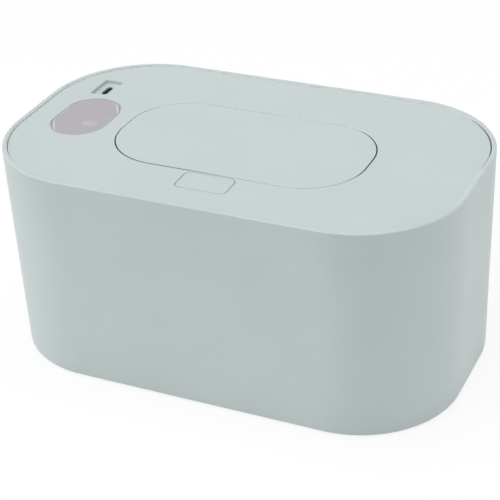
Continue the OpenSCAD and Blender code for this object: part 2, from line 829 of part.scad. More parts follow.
// leaf spring: foot under its boss, upright, central tongue and two side ramps
module latch_spring() color(steel) {
    foot_z = below(latch_seat_h + strip_t / 2);
    upright_top = [latch_y, below(ramp_foot_h)];
    difference() {
        across(0, latch_w + 2 * ramp_w) {
            strip_bar([latch_screw_y - latch_foot, foot_z], [latch_y, foot_z]);
            strip_bar([latch_y, foot_z], upright_top);
        }
        post([0, latch_screw_y], small_screw_r + 0.15, latch_seat_h - cut, latch_seat_h + cut);
    }
    across(0, latch_w)
        strip_bar([latch_y, below(tongue_h)],
                  [catch_front_y + catch_reach - strip_t / 2, below(tongue_h)]);
    across(0, latch_w) strip_bar(upright_top, [latch_y, below(tongue_h)]);
    for (s = [-1, 1]) across(s * (latch_w + ramp_w) / 2, ramp_w)
        strip_bar(upright_top, upright_top + ramp_rise * [-1, 1]);
}

module latch_screw() color(steel)
    screw([0, latch_screw_y], latch_seat_h + strip_t, small_screw_r, small_hole - 1);

module hinge_pins() color(steel)
    for (s = [-1, 1])
        translate([flap_x + s * hinge_x - pocket_w / 2 - well_t, hinge_y, hinge_z])
            rotate([0, 90, 0]) cylinder(r = pin_r, h = pocket_w + 2 * well_t);

// torsion spring wound round a pin: its first leg bears on the pocket's rear wall,
// its last leg runs down beside the arm and turns in behind the arm's stem
module flap_spring() {
    mean_r = pin_r + 0.5;
    pitch = 0.75;
    from = 25;
    to = 222 + 360 * 4;
    coil_w = pitch * (to - from) / 360;
    leg = 4.4;
    last = rim_point(mean_r, to) + leg * rim_way(to);
    wire(concat(
        [for (t = [5.2:-1.3:1.3])
            let (p = rim_point(mean_r, from) - t * rim_way(from)) [0, p[0], p[1]]],
        [for (a = [from:24:to])
            let (p = rim_point(mean_r, a)) [-pitch * (a - from) / 360, p[0], p[1]]],
        [for (t = [1.1:1.1:leg - 0.5])
            let (p = rim_point(mean_r, to) + t * rim_way(to)) [-coil_w, p[0], p[1]]],
        [for (t = [0.3:0.8:3.5]) [-coil_w - t, last[0], last[1]]]
    ), 0.25, 6);
}

// a point on a circle, and the way a winding runs there
function rim_point(r, a) = r * [cos(a), sin(a)];
function rim_way(a) = [-sin(a), cos(a)];

module flap_springs() color(steel)
    translate([flap_x, hinge_y, hinge_z])
        for (s = [0, 1]) mirror([s, 0, 0]) translate([hinge_x + 4.6, 0, 0]) flap_spring();

// ---------- flap ----------

module panel_section() {
    polygon(concat(
        [[flap_flat_r, below(panel_t)],
         [flap_r - flap_edge_w - flap_taper, below(panel_t)],
         [flap_r - flap_edge_w - flap_taper, below(flap_edge_h)],
         [flap_r - flap_taper, below(flap_edge_h)],
         [flap_r, below(flap_taper_from)]],
        arc(flap_r - flap_top_round, lid_z - flap_top_round, flap_top_round, 0, 90, 4),
        [[flap_flat_r, lid_z]]
    ));
}

module flap_panel() color(mint) translate([flap_x, flap_y, 0]) {
    around(flap_l / 2 - flap_r, flap_d / 2 - flap_r) panel_section();
    slab(0, panel_t)
        rounded(flap_l - 2 * flap_r + 2 * flap_flat_r + 2 * cut,
                flap_d - 2 * flap_r + 2 * flap_flat_r + 2 * cut, flap_flat_r + cut);
}

// swan-neck arm: knuckle, stem, bow that passes under the well's edge, and pad
module neck_section() {
    neck_out = neck_r + neck_t;
    pad_top = hinge_h - flap_edge_h;
    difference() {
        union() {
            circle(knuckle_r);
            rotate(stem_angle) translate([0, -neck_t / 2]) square([neck_out - 0.1, neck_t]);
            intersection() {
                difference() {
                    circle(neck_out);
                    circle(neck_r);
                }
                polygon([[0, 0], [-2 * neck_out, 0], [-2 * neck_out, -2 * neck_out],
                         2 * neck_out * [cos(bow_angle), sin(bow_angle)]]);
            }
            translate([-neck_r - pad_l, pad_top - pad_t]) square([pad_l, pad_t]);
            translate([-neck_out, -0.1]) square([neck_t, pad_top + 0.1]);
        }
        circle(pin_r + pin_play);
    }
}

// hook leg: a plate with a window that the latch spring's tongue enters
module catch_leg() {
    difference() {
        across(0, catch_w) translate([0, lid_z]) {
            translate([catch_front_y, -catch_h]) square([catch_t, catch_h - flap_edge_h]);
            translate([catch_front_y, -flap_edge_h - pad_t]) square([catch_pad, pad_t]);
        }
        across(0, latch_w + 2 * tongue_play)
            translate([catch_front_y - cut, below(tongue_h + tongue_play + 0.1)])
                square([catch_t + 2 * cut, 3 * tongue_play]);
    }
}

module flap_frame() color(grey_mint) {
    inset = flap_edge_w + flap_taper + 0.15;
    union() {
        slab(panel_t, panel_t + frame_t) translate([flap_x, flap_y])
            rounded(flap_l - 2 * inset, flap_d - 2 * inset, flap_r - inset);
        for (s = [-1, 1])
            across(flap_x + s * (hinge_x - 3), arm_w)
                translate([hinge_y, hinge_z]) neck_section();
        catch_leg();
    }
}

module flap_seal() color(silicone)
    slab(panel_t + frame_t, collar_h - soft_gap) difference() {
        outlet_outline(collar_t + 0.8);
        outlet_outline(-0.8);
    }

// ---------- release button ----------

// one of the two wedges that push the latch spring's ramps forward
module wedge_section() {
    ramp_line = ramp_foot_h - latch_y - (strip_t / 2 + ramp_gap) * sqrt(2);
    front = latch_y - 2;
    rear = button_rear_y - 1.3;
    polygon([
        [front, below(cover_t - 0.4)],
        [front, below(front + ramp_line)],
        [wedge_bottom_h - ramp_line, below(wedge_bottom_h)],
        [rear, below(wedge_bottom_h)],
        [rear, below(cover_t - 0.4)]
    ]);
}

module button_section() {
    polygon(concat(
        [[button_r / 5, below(button_top_t)],
         [button_r - button_wall, below(button_top_t)],
         [button_r - button_wall, below(button_low_h)],
         [button_r, below(button_low_h)]],
        arc(button_r - button_edge, lid_z - button_edge, button_edge, 0, 90, 4),
        [[button_r / 5, lid_z]]
    ));
}

module release_button() color(mint) {
    translate([0, button_y, 0]) around(button_l / 2 - button_r, button_d / 2 - button_r)
        button_section();
    slab(0, button_top_t) button_outline(-button_r / 2);
    for (s = [-1, 1]) {
        slab(cover_t, cover_t + tab_t)
            translate([s * (button_l + tab_w - tab_root) / 2, button_y])
                square([tab_w + tab_root, button_d - 6], center = true);
        across(s * (latch_w + ramp_w) / 2, ramp_w) wedge_section();
    }
}

// ---------- the parts ----------

tub();
rubber_feet();
lid_cover();
lid_base();
lid_seal();
outlet_membrane();
heat_plate();
heater_film();
insulation_pad();
thermistor();
thermal_fuse();
lead_wires();
display_window();
digit_display();
touch_spring();
control_board();
power_socket_shell();
power_socket_tongue();
controller_chip();
power_transistor();
storage_capacitor();
power_inductor();
wire_connectors();
board_screws();
lid_screws();
latch_spring();
latch_screw();
hinge_pins();
flap_springs();
flap_panel();
flap_frame();
flap_seal();
release_button();
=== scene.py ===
"""Looks of the wipe warmer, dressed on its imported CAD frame.

Sizes are written in millimetres, as in the CAD source, and turned into metres where
a mesh is made. The origin is the middle of the footprint, X runs along the long
side, -Y is the front and Z is up. A depth is measured down from the lid's face,
which lies at LID_Z. A rounded rectangle in plan is given by half the distances
between its corners' centres, along X and Y, and by its corners' radius.
"""

import logging
import math
from dataclasses import dataclass, field
from enum import Enum
from functools import cache

import bmesh
import bpy
import numpy as np
from mathutils import Matrix
from numpy.typing import NDArray


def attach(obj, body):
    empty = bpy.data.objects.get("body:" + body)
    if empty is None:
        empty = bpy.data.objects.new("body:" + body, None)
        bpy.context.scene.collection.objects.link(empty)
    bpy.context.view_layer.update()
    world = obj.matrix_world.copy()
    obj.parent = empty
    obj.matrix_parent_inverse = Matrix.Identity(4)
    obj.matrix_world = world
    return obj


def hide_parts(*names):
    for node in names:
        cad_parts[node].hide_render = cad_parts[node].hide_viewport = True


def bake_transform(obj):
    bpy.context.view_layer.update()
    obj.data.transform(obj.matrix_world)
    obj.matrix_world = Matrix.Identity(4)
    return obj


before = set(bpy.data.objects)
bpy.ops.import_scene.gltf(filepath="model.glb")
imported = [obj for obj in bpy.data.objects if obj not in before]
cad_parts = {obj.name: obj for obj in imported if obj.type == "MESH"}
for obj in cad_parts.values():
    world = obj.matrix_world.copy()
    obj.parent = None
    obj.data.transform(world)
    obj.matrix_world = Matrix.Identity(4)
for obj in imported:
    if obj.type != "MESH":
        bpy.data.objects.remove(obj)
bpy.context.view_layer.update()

LOG = logging.getLogger("wipe_warmer")
MM = 0.001
WELD = 1e-7

Array = NDArray[np.float64]
Index = NDArray[np.int64]
Triple = tuple[float, float, float]
Pair = tuple[float, float]
Socket = bpy.types.NodeSocket

LID_Z: float = 112.3
LID_HALF: Pair = (66.5, 18.0)
LENS_AT: Pair = (-89.1, -2.0)
LENS_HALF: Pair = (0.0, 7.0)
LENS_R: float = 14.8


class Body(Enum):
    """The bodies that new pieces ride on."""

    TUB = "tub"
    LID = "lid"
    FLAP = "flap"


class Slot(Enum):
    """The record's material slots, by name."""

    FEET = "foot_rubber"
    SILICONE = "silicone"
    FOAM = "foam"
    EPOXY = "black_epoxy"
    FUSE = "fuse_body"
    WIRE = "wire_red"
    WINDOW = "window"
    BRASS = "spring_brass"
    STEEL = "steel"
    CHIP = "chip_black"
    CAN = "capacitor_can"
    FERRITE = "ferrite"
    IVORY = "connector_ivory"
    SPRING = "spring_steel"


def shown(name: str, data: bpy.types.ID) -> bpy.types.Object:
    """Puts a mesh, lamp or camera into the scene.

    Args:
        name: The object's name.
        data: What the object shows.

    Returns:
        The object, at the origin.
    """
    made = bpy.data.objects.new(name, data)
    bpy.context.scene.collection.objects.link(made)
    return made


def weld(mesh: bpy.types.Mesh, near: float) -> None:
    """Merges a mesh's points that lie closer than a distance in metres.

    Args:
        mesh: The mesh, which is changed.
        near: The distance.
    """
    sewn = bmesh.new()
    sewn.from_mesh(mesh)
    bmesh.ops.remove_doubles(sewn, verts=sewn.verts, dist=near)
    sewn.to_mesh(mesh)
    sewn.free()


# ---------- skins ----------


def beside(*columns: Array | float) -> Array:
    """Puts columns side by side along a new last axis, repeating single numbers."""
    return np.stack(np.broadcast_arrays(*columns), axis=-1)


def angles(first: float, last: float, count: int) -> Array:
    """Returns evenly spaced angles in radians, from their two ends in degrees."""
    return np.radians(np.linspace(first, last, count))


@dataclass
class Skin:
    """Points in millimetres, the faces that join them, and named values on the points."""

    points: Array
    quads: Index
    caps: list[Index] = field(default_factory=list)
    marks: dict[str, Array] = field(default_factory=dict)

    def volume(self) -> float:
        """Adds up the signed volumes between the origin and every triangle.

        Returns:
            The volume in cubic millimetres, below zero where the faces point inwards.
        """
        fans = [self.quads[:, [0, 1, 2]], self.quads[:, [0, 2, 3]]]
        fans += [beside(c[0], c[1:-1], c[2:]) for c in self.caps]
        corners = self.points[np.concatenate(fans)]
        return float(np.einsum("ij,ij->", corners[:, 0], np.cross(corners[:, 1], corners[:, 2])) / 6)

    def outward(self) -> "Skin":
        """Turns the faces outwards.

        Returns:
            The same skin, or one with every face turned round.
        """
        if self.volume() >= 0:
            return self
        return Skin(self.points, self.quads[:, ::-1], [c[::-1] for c in self.caps], self.marks)

    def moved(self, place: Triple) -> "Skin":
        """Returns a copy moved by a vector in millimetres."""
        return Skin(self.points + np.array(place), self.quads, self.caps, self.marks)

    def mesh(self, name: str, crease: float) -> bpy.types.Mesh:
        """Makes the Blender mesh, in metres, with doubles welded.

        Args:
            name: The mesh's name.
            crease: Edges bent by more than this many degrees stay sharp.

        Returns:
            The mesh, smooth between its sharp edges.
        """
        mesh = bpy.data.meshes.new(name)
        faces = self.quads.tolist() + [c.tolist() for c in self.caps]
        mesh.from_pydata((self.points * MM).tolist(), [], faces)
        for key, values in self.marks.items():
            layer = mesh.attributes.new(key, "FLOAT", "POINT")
            layer.data.foreach_set("value", np.ascontiguousarray(values, dtype=np.float32))
        weld(mesh, WELD)
        mesh.shade_smooth()
        mesh.set_sharp_from_angle(angle=math.radians(crease))
        return mesh


def join(*skins: Skin) -> Skin:
    """Puts several skins into one.

    Args:
        *skins: The skins, each already turned outwards.

    Returns:
        One skin; its marks are dropped.
    """
    starts = np.cumsum([0] + [len(s.points) for s in skins[:-1]])
    return Skin(
        np.concatenate([s.points for s in skins]),
        np.concatenate([s.quads + n for s, n in zip(skins, starts)]),
        [c + n for s, n in zip(skins, starts) for c in s.caps],
    )


def lattice(points: Array, closed: tuple[bool, bool]) -> Skin:
    """Joins a grid of points by quads.

    Point (i, j) is joined with (i + 1, j), (i + 1, j + 1) and (i, j + 1), where an
    index past the end of a closed direction starts again at 0.

    Args:
        points: Rows, columns and coordinates.
        closed: Whether the rows and the columns run round.

    Returns:
        The skin, with its ends open.
    """
    rows, columns = points.shape[:2]
    i = np.arange(rows if closed[0] else rows - 1)[:, None]
    j = np.arange(columns if closed[1] else columns - 1)[None, :]
    i2, j2 = (i + 1) % rows, (j + 1) % columns
    corners = (i * columns + j, i2 * columns + j, i2 * columns + j2, i * columns + j2)
    return Skin(points.reshape(-1, 3), beside(*corners).reshape(-1, 4))


def soften(corners: Array, cut: float, steps: int = 4) -> Array:
    """Rounds the corners of a closed outline.

    Each corner C is cut back along both edges, by at most 0.45 of the edge, to A and
    B, and the parabola (1 - t)^2 A + 2 t (1 - t) C + t^2 B joins them.

    Args:
        corners: The outline's corners, one row each.
        cut: How far each corner is cut back.
        steps: Steps along each parabola.

    Returns:
        The points of the rounded outline.
    """

    def back(edge: Array) -> Array:
        """Shortens the edges to the cut.

        Args:
            edge: The vector along each edge.

        Returns:
            The shortened vectors.
        """
        length = np.linalg.norm(edge, axis=1, keepdims=True)
        return edge / length * np.minimum(cut, 0.45 * length)

    a = (corners + back(np.roll(corners, 1, axis=0) - corners))[:, None]
    b = (corners + back(np.roll(corners, -1, axis=0) - corners))[:, None]
    t = np.linspace(0.0, 1.0, steps + 1)[None, :, None]
    curve = (1 - t) ** 2 * a + 2 * t * (1 - t) * corners[:, None] + t**2 * b
    return curve.reshape(-1, 2)


def ring(half: Pair, steps: int, runs: int) -> tuple[Array, Array]:
    """Centres and outward directions round a rounded rectangle.

    The direction turns once round. Over each quarter turn the centre stays on one of
    the corners (+-half x, +-half y), and between two corners it runs straight.

    Args:
        half: Half the distance between the corners' centres, along X and Y.
        steps: Steps in each quarter turn.
        runs: Points inside each straight run.

    Returns:
        The centres and the directions, one row per point.
    """
    corners = np.array([[1, 1], [-1, 1], [-1, -1], [1, -1]]) * np.array(half)
    turn = np.radians(90 * np.arange(4)[:, None] + np.linspace(0, 90, steps + 1))
    turn = np.concatenate([turn, np.repeat(turn[:, -1:], runs, axis=1)], axis=1)
    along = np.concatenate([np.zeros(steps + 1), np.arange(1, runs + 1) / (runs + 1)])
    onward = np.roll(corners, -1, axis=0) - corners
    centres = (corners[:, None] + along[None, :, None] * onward[:, None]).reshape(-1, 2)
    directions = beside(np.cos(turn), np.sin(turn)).reshape(-1, 2)
    rim = centres + directions
    keep = np.linalg.norm(rim - np.roll(rim, 1, axis=0), axis=1) > 1e-9
    return centres[keep], directions[keep]


def around(half: Pair, section: Array, centre: Pair = (0.0, 0.0), steps: int = 12,
           runs: int = 0, closed: bool = True) -> Skin:
    """Carries a section of radius and depth round a rounded rectangle.

    The point of radius r and depth d stands at centre + r direction, at the height
    LID_Z - d. With half = (0, 0) this is a turned shape. An open section is closed by
    a flat face at each end, or by a pole where its radius is 0.

    Args:
        half: Half the distance between the corners' centres.
        section: Radius and depth of each point.
        centre: The middle in plan.
        steps: Steps in each quarter turn.
        runs: Points inside each straight run.
        closed: Whether the section is a loop.

    Returns:
        The closed skin, turned outwards.
    """
    centres, directions = ring(half, steps, runs)
    plan = centres[:, None] + section[None, :, :1] * directions[:, None] + np.array(centre)
    skin = lattice(beside(plan[..., 0], plan[..., 1], LID_Z - section[:, 1]), (True, closed))
    if not closed:
        first = np.arange(len(centres)) * len(section)
        ends = [(first[::-1], section[0, 0]), (first + len(section) - 1, section[-1, 0])]
        skin.caps = [loop for loop, radius in ends if radius > 0]
    return skin.outward()


def turned(corners: Array, cut: float, centre: Pair) -> Skin:
    """A turned shape whose corners are rounded, but for the two on its axis.

    Args:
        corners: Radius and depth of each corner, from axis to axis.
        cut: How far each corner is cut back.
        centre: The axis in plan.

    Returns:
        The skin.
    """
    rounded = soften(corners, cut, steps=3)[4:-4]
    section = np.concatenate([corners[:1], rounded, corners[-1:]])
    return around((0.0, 0.0), section, centre, steps=10, closed=False)


def block(centre: Pair, size: Triple, corner: float, top: float, edge: float) -> Skin:
    """A moulded block with round corners and edges, standing between two depths.

    Its section goes in from the side by (1 - cos a) edge and up by (1 - sin a) edge
    over a quarter turn a at the top and at the bottom.

    Args:
        centre: The middle in plan.
        size: Length, depth and height.
        corner: Radius of the upright corners.
        top: Depth of its upper face.
        edge: Radius of its upper and lower edges.

    Returns:
        The skin.
    """
    a = angles(90, 0, 4)
    inset, drop = corner - (1 - np.cos(a)) * edge, (1 - np.sin(a)) * edge
    section = np.concatenate([beside(inset, top + drop), beside(inset, top + size[2] - drop)[::-1]])
    half = (size[0] / 2 - corner, size[1] / 2 - corner)
    return around(half, section, centre, steps=5, closed=False)


def tube(path: Array, radius: float, up: Array | Triple, sides: int = 14) -> Skin:
    """A round wire along a path, with domed ends.

    Each ring lies across the path: centre + radius (cos a S + sin a T), where S is
    the path's direction crossed with up and T is the direction crossed with S. At
    the ends, rings of radius cos b stand radius sin b beyond the path.

    Args:
        path: Points of the wire's middle line.
        radius: The wire's radius.
        up: A vector, or one for each point, that the path never runs along.
        sides: Points round each ring.

    Returns:
        The skin.
    """
    along = np.gradient(path, axis=0)
    along /= np.linalg.norm(along, axis=1, keepdims=True)
    b = angles(90, 0, 5)[:-1]
    reach = np.concatenate([-np.sin(b), np.zeros(len(path)), np.sin(b[::-1])])
    width = np.concatenate([np.cos(b), np.ones(len(path)), np.cos(b[::-1])])
    pick = np.clip(np.arange(len(reach)) - len(b), 0, len(path) - 1)
    up = np.broadcast_to(np.asarray(up, dtype=float), path.shape)
    side = np.cross(along, up)
    side /= np.linalg.norm(side, axis=1, keepdims=True)
    other = np.cross(along, side)
    centres = path[pick] + radius * reach[:, None] * along[pick]
    a = np.linspace(0, 2 * np.pi, sides, endpoint=False)[None, :, None]
    rim = np.cos(a) * side[pick][:, None] + np.sin(a) * other[pick][:, None]
    return lattice(centres[:, None] + radius * width[:, None, None] * rim, (False, True)).outward()


def strips(section: Array, starts: Array, width: float, along_x: bool) -> Skin:
    """Copies of one flat strip, such as a chip's legs.

    Each point of the closed section stands at start +- width / 2 along the strip's
    width, start + u across it and start height + v.

    Args:
        section: The strip's outline across its width, as rows of (u, v).
        starts: The middle of each copy.
        width: The strip's width.
        along_x: Whether the width lies along X, or else along Y.

    Returns:
        The skin of all copies.
    """
    count, size = len(starts), len(section)
    half = np.array([-0.5, 0.5])[:, None] * width
    across, lift = section.T
    columns = (half, across, lift) if along_x else (across, half, lift)
    points = beside(*columns) + starts[:, None, None, :]
    k = np.arange(size)
    loop = beside(k, (k + 1) % size, (k + 1) % size + size, k + size)
    base = np.arange(count) * 2 * size
    quads = (base[:, None, None] + loop[None]).reshape(-1, 4)
    caps = list(base[:, None] + k[::-1]) + list(base[:, None] + size + k)
    return Skin(points.reshape(-1, 3), quads, caps).outward()


def leg(reach: float, fall: float, thick: float) -> Array:
    """The section of a chip's bent leg: out, down and out again.

    Args:
        reach: How far it stands out.
        fall: How far it drops.
        thick: The metal's thickness.

    Returns:
        The closed outline as rows of (out, up).
    """
    t = thick / 2
    upper = [[-0.3, t], [0.42 * reach, t], [0.62 * reach, -fall + t], [reach, -fall + t]]
    lower = [[reach, -fall - t], [0.5 * reach, -fall - t], [0.3 * reach, -t], [-0.3, -t]]
    return soften(np.array(upper + lower), cut=0.6 * thick, steps=3)


# ---------- node graphs ----------


class Graph:
    """A node tree, with short calls that add nodes and links."""

    def __init__(self, owner: bpy.types.Material | bpy.types.World) -> None:
        """Empties the owner's node tree.

        Args:
            owner: The new material or world.
        """
        owner.use_nodes = True
        self.owner = owner
        self.tree: bpy.types.NodeTree = owner.node_tree
        self.tree.nodes.clear()

    @classmethod
    def of(cls, name: str) -> "Graph":
        """Returns the graph of a new material."""
        return cls(bpy.data.materials.new(name))

    def add(self, kind: str, options: dict[str, object] | None = None, **inputs: object) -> bpy.types.Node:
        """Adds a node.

        Args:
            kind: The node's type, without its ShaderNode prefix.
            options: The node's own options.
            **inputs: Values or output sockets, by input name with _ for a space.

        Returns:
            The new node.
        """
        node = self.tree.nodes.new("ShaderNode" + kind)
        for key, value in (options or {}).items():
            setattr(node, key, value)
        for key, value in inputs.items():
            self.put(node.inputs[key.replace("_", " ")], value)
        return node

    def put(self, socket: Socket, value: object) -> None:
        """Links an output socket to an input, or sets the input's own value.

        Args:
            socket: The input.
            value: An output socket, a number, or a colour of three parts.
        """
        if isinstance(value, bpy.types.NodeSocket):
            self.tree.links.new(value, socket)
        elif isinstance(value, tuple) and len(value) == 3 and socket.type == "RGBA":
            socket.default_value = (*value, 1.0)
        else:
            socket.default_value = value

    def place(self) -> Socket:
        """Returns the object coordinates, in metres."""
        return self.add("TexCoord").outputs["Object"]

    def mark(self, name: str) -> Socket:
        """Returns a value stored on the piece's points."""
        return self.add("Attribute", {"attribute_name": name}).outputs["Fac"]

    def axis(self, name: str) -> Socket:
        """Returns one object coordinate, in millimetres."""
        return self.math("DIVIDE", self.add("SeparateXYZ", Vector=self.place()).outputs[name], MM)

    def beyond(self, middle: Pair, half: Pair) -> Socket:
        """Measures how far a point lies outside a box in plan.

        The distance is the length of (max(|x - middle x| - half x, 0),
        max(|y - middle y| - half y, 0)).

        Args:
            middle: The middle of the box.
            half: Half its sides.

        Returns:
            The distance in millimetres.
        """
        squares: list[Socket] = []
        for name, centre, side in zip("XY", middle, half):
            off = self.math("ABSOLUTE", self.math("SUBTRACT", self.axis(name), centre))
            outside = self.math("MAXIMUM", self.math("SUBTRACT", off, side), 0.0)
            squares.append(self.math("POWER", outside, 2.0))
        return self.math("SQRT", self.math("ADD", *squares))

    def scaled(self, stretch: Triple) -> Socket:
        """Returns the object coordinates, multiplied on each axis."""
        return self.add("Mapping", Vector=self.place(), Scale=stretch).outputs["Vector"]

    def noise(self, size: float, detail: float = 2.0, stretch: Triple = (1.0, 1.0, 1.0)) -> Socket:
        """Adds noise.

        Args:
            size: Size of a lump, in millimetres.
            detail: Number of finer octaves.
            stretch: Factors on the three axes before the noise.

        Returns:
            The noise's factor, about 0.5 on average.
        """
        node = self.add("TexNoise", Vector=self.scaled(stretch), Scale=1 / (size * MM), Detail=detail)
        return node.outputs["Fac"]

    def cells(self, size: float, feature: str = "F1") -> bpy.types.Node:
        """Adds a cell pattern whose cells are about the given size in millimetres."""
        return self.add("TexVoronoi", {"feature": feature}, Vector=self.place(), Scale=1 / (size * MM))

    def bands(self, size: float, direction: str) -> Socket:
        """Adds straight bands.

        Args:
            size: The width of a band and its gap, in millimetres.
            direction: The axis that the bands follow one another along.

        Returns:
            A wave from 0 to 1.
        """
        scale = 2 * math.pi / (20 * size * MM)
        options = {"wave_type": "BANDS", "bands_direction": direction}
        return self.add("TexWave", options, Vector=self.place(), Scale=scale).outputs["Fac"]

    def remap(self, value: Socket, source: Pair, target: tuple[object, object] = (0.0, 1.0)) -> Socket:
        """Maps one range of values onto another, clamped.

        Args:
            value: The value.
            source: The range that it comes in.
            target: What the ends of that range turn into.

        Returns:
            The mapped value.
        """
        node = self.add("MapRange", Value=value)
        for key, number in zip(("From Min", "From Max", "To Min", "To Max"), (*source, *target)):
            self.put(node.inputs[key], number)
        return node.outputs["Result"]

    def math(self, operation: str, *values: object) -> Socket:
        """Adds math nodes, the result of each being the first input of the next.

        Args:
            operation: What each node does.
            *values: One value for a single node with one input, or else two or more.

        Returns:
            The last node's value.
        """
        result, rest = values[0], values[1:] or (0.0,)
        for value in rest:
            node = self.add("Math", {"operation": operation})
            self.put(node.inputs[0], result)
            self.put(node.inputs[1], value)
            result = node.outputs["Value"]
        return result

    def blend(self, factor: object, a: object, b: object) -> Socket:
        """Mixes two colours.

        Args:
            factor: The share of the second colour.
            a: The first colour.
            b: The second colour.

        Returns:
            The mixed colour.
        """
        node = self.add("Mix", {"data_type": "RGBA"})
        for key, value in (("Factor_Float", factor), ("A_Color", a), ("B_Color", b)):
            self.put(next(s for s in node.inputs if s.identifier == key), value)
        return next(s for s in node.outputs if s.identifier == "Result_Color")

    def shade(self, colour: Triple, value: Socket, source: Pair, spread: Pair) -> Socket:
        """Darkens and lightens a colour by a pattern.

        Args:
            colour: The colour.
            value: The pattern.
            source: The pattern's range.
            spread: The factors on the colour at the ends of that range.

        Returns:
            The colour socket.
        """
        low, high = (tuple(min(1.0, c * s) for c in colour) for s in spread)
        return self.blend(self.remap(value, source), low, high)

    def bump(self, height: Socket, depth: float, under: Socket | None = None) -> Socket:
        """Adds a bump map.

        Args:
            height: The height, from 0 to 1.
            depth: The depth in millimetres that 1 stands for.
            under: A normal that this bump lies on.

        Returns:
            The normal.
        """
        node = self.add("Bump", Height=height, Distance=depth * MM, Strength=1.0)
        if under is not None:
            self.put(node.inputs["Normal"], under)
        return node.outputs["Normal"]

    def seen(self) -> Socket:
        """Tells the rays that show something from those that only light it.

        Returns:
            1 for camera, glossy and transmission rays and 0 for the others.
        """
        path = self.add("LightPath")
        kinds = ("Is Camera Ray", "Is Glossy Ray", "Is Transmission Ray")
        return self.math("MAXIMUM", *(path.outputs[kind] for kind in kinds))

    def coated(self, **inputs: object) -> bpy.types.Material:
        """Ends a material with a principled shader that has these inputs."""
        return self.shaded(self.add("BsdfPrincipled", **inputs))

    def shaded(self, shader: bpy.types.Node, kind: str = "Material") -> bpy.types.Material | bpy.types.World:
        """Links a shader to the output.

        Args:
            shader: The last shader.
            kind: Whether the output is that of a Material or a World.

        Returns:
            The material or world.
        """
        self.add("Output" + kind, Surface=shader.outputs[0])
        return self.owner


# ---------- finishes ----------


@dataclass(frozen=True)
class MouldedPlastic:
    """Spark-textured moulded plastic: fine grain, faint flow drift, rubbed spots, dust."""

    name: str
    colour: Triple
    roughness: float = 0.42
    grain: float = 0.35
    depth: float = 0.012
    drift: float = 0.015
    dust: float = 0.0

    def with_painted_light(self, g: Graph, colour: Socket) -> Socket:
        """Returns the colour with any light or shade painted onto this plastic in places."""
        return colour

    def material(self) -> bpy.types.Material:
        """Builds the material.

        Returns:
            The material. Its colour drifts by a few per cent over 40 mm, its
            roughness follows the grain and falls a little where the plastic is
            rubbed, and dust lies as small discs round some points of a cell pattern.
        """
        g = Graph.of(self.name)
        flow = g.noise(40, 3.0)
        colour = g.shade(self.colour, flow, (0.3, 0.7), (1 - self.drift, 1 + self.drift))
        if self.dust > 0:
            cells = g.cells(17)
            disc = g.remap(cells.outputs["Distance"], (0.012, 0.026), (self.dust, 0.0))
            parts = g.add("SeparateColor", Color=cells.outputs["Color"])
            some = g.math("GREATER_THAN", parts.outputs["Red"], 0.62)
            speck = tuple(0.55 * c for c in self.colour)
            colour = g.blend(g.math("MULTIPLY", disc, some), colour, speck)
        # Painted light and shade, where this plastic has any.
        colour = self.with_painted_light(g, colour)
        grain = g.noise(self.grain, 2.0)
        rubbed = g.remap(g.noise(14, 4.0), (0.55, 0.75), (0.0, -0.05))
        rough = g.remap(grain, (0.3, 0.7), (self.roughness - 0.03, self.roughness + 0.05))
        return g.coated(
            Base_Color=colour,
            Roughness=g.math("ADD", rough, rubbed),
            IOR=1.49,
            Normal=g.bump(grain, self.depth),
        )


@dataclass(frozen=True)
class Seam:
    """A seam round a rounded rectangle: the radii and the depths of its walls that carry painted light and
    shade.

    The painted light and shade set in over the depths start and fade out over the depths end.
    """

    middle: Pair
    half: Pair
    walls: Pair
    start: Pair
    end: Pair

    def inside(self, g: Graph) -> Socket:
        """Marks the seam's walls.

        Args:
            g: The material's graph.

        Returns:
            1 on the walls and 0 elsewhere.
        """
        away = g.beyond(self.middle, self.half)
        fall = g.math("SUBTRACT", LID_Z, g.axis("Z"))
        return g.math(
            "MULTIPLY",
            g.math("GREATER_THAN", away, self.walls[0]),
            g.math("LESS_THAN", away, self.walls[1]),
            g.remap(fall, self.start),
            g.remap(fall, self.end, (1.0, 0.0)),
        )


@dataclass(frozen=True)
class ShellPlastic(MouldedPlastic):
    """The mint plastic of the shells, with painted light and painted shade on the walls inside its seams."""

    # Painted light and painted shade for the seams' walls.
    seam_painted_light: Triple = (0.88, 0.94, 0.93)
    seam_painted_shade: Triple = (0.07, 0.08, 0.08)
    lid: Seam = Seam((0.0, 0.0), LID_HALF, (50.45, 51.55), (-0.4, -0.05), (0.3, 1.0))
    flap: Seam = Seam((0.5, -2.6), (35.55, 4.7), (29.45, 30.45), (0.0, 0.35), (0.8, 1.8))
    lens: Seam = Seam(LENS_AT, LENS_HALF, (LENS_R + 0.05, LENS_R + 0.8), (0.0, 0.2), (1.0, 2.0))

    def with_painted_light(self, g: Graph, colour: Socket) -> Socket:
        """Paints light and shade onto the seams' walls.

        The seams are painted light. The flap's has painted shade towards the front left, along
        -0.35 x - y, and at its right end, along x + 0.3 y; the lid's has painted shade round
        its rear right corner.

        Args:
            g: The material's graph.
            colour: The plain colour.

        Returns:
            The colour with the seams' painted light and shade.
        """
        x, y = g.axis("X"), g.axis("Y")
        lean = g.math("SUBTRACT", g.math("MULTIPLY", x, -0.35), y)
        end = g.math("ADD", x, g.math("MULTIPLY", y, 0.3))
        # Where the flap's and the lid's seams take painted shade instead of painted light.
        share = g.math("MAXIMUM", g.remap(lean, (28.0, 46.0)), g.remap(end, (57.0, 64.0), (0.0, 0.7)))
        corner = g.math("MULTIPLY", g.remap(x, (96.0, 115.0), (0.0, 0.9)), g.remap(y, (6.0, 30.0)))
        paints = (
            (self.lid, g.blend(corner, self.seam_painted_light, self.seam_painted_shade)),
            (self.flap, g.blend(share, self.seam_painted_light, self.seam_painted_shade)),
            (self.lens, self.seam_painted_light),
        )
        for seam, paint in paints:
            colour = g.blend(seam.inside(g), colour, paint)
        return colour


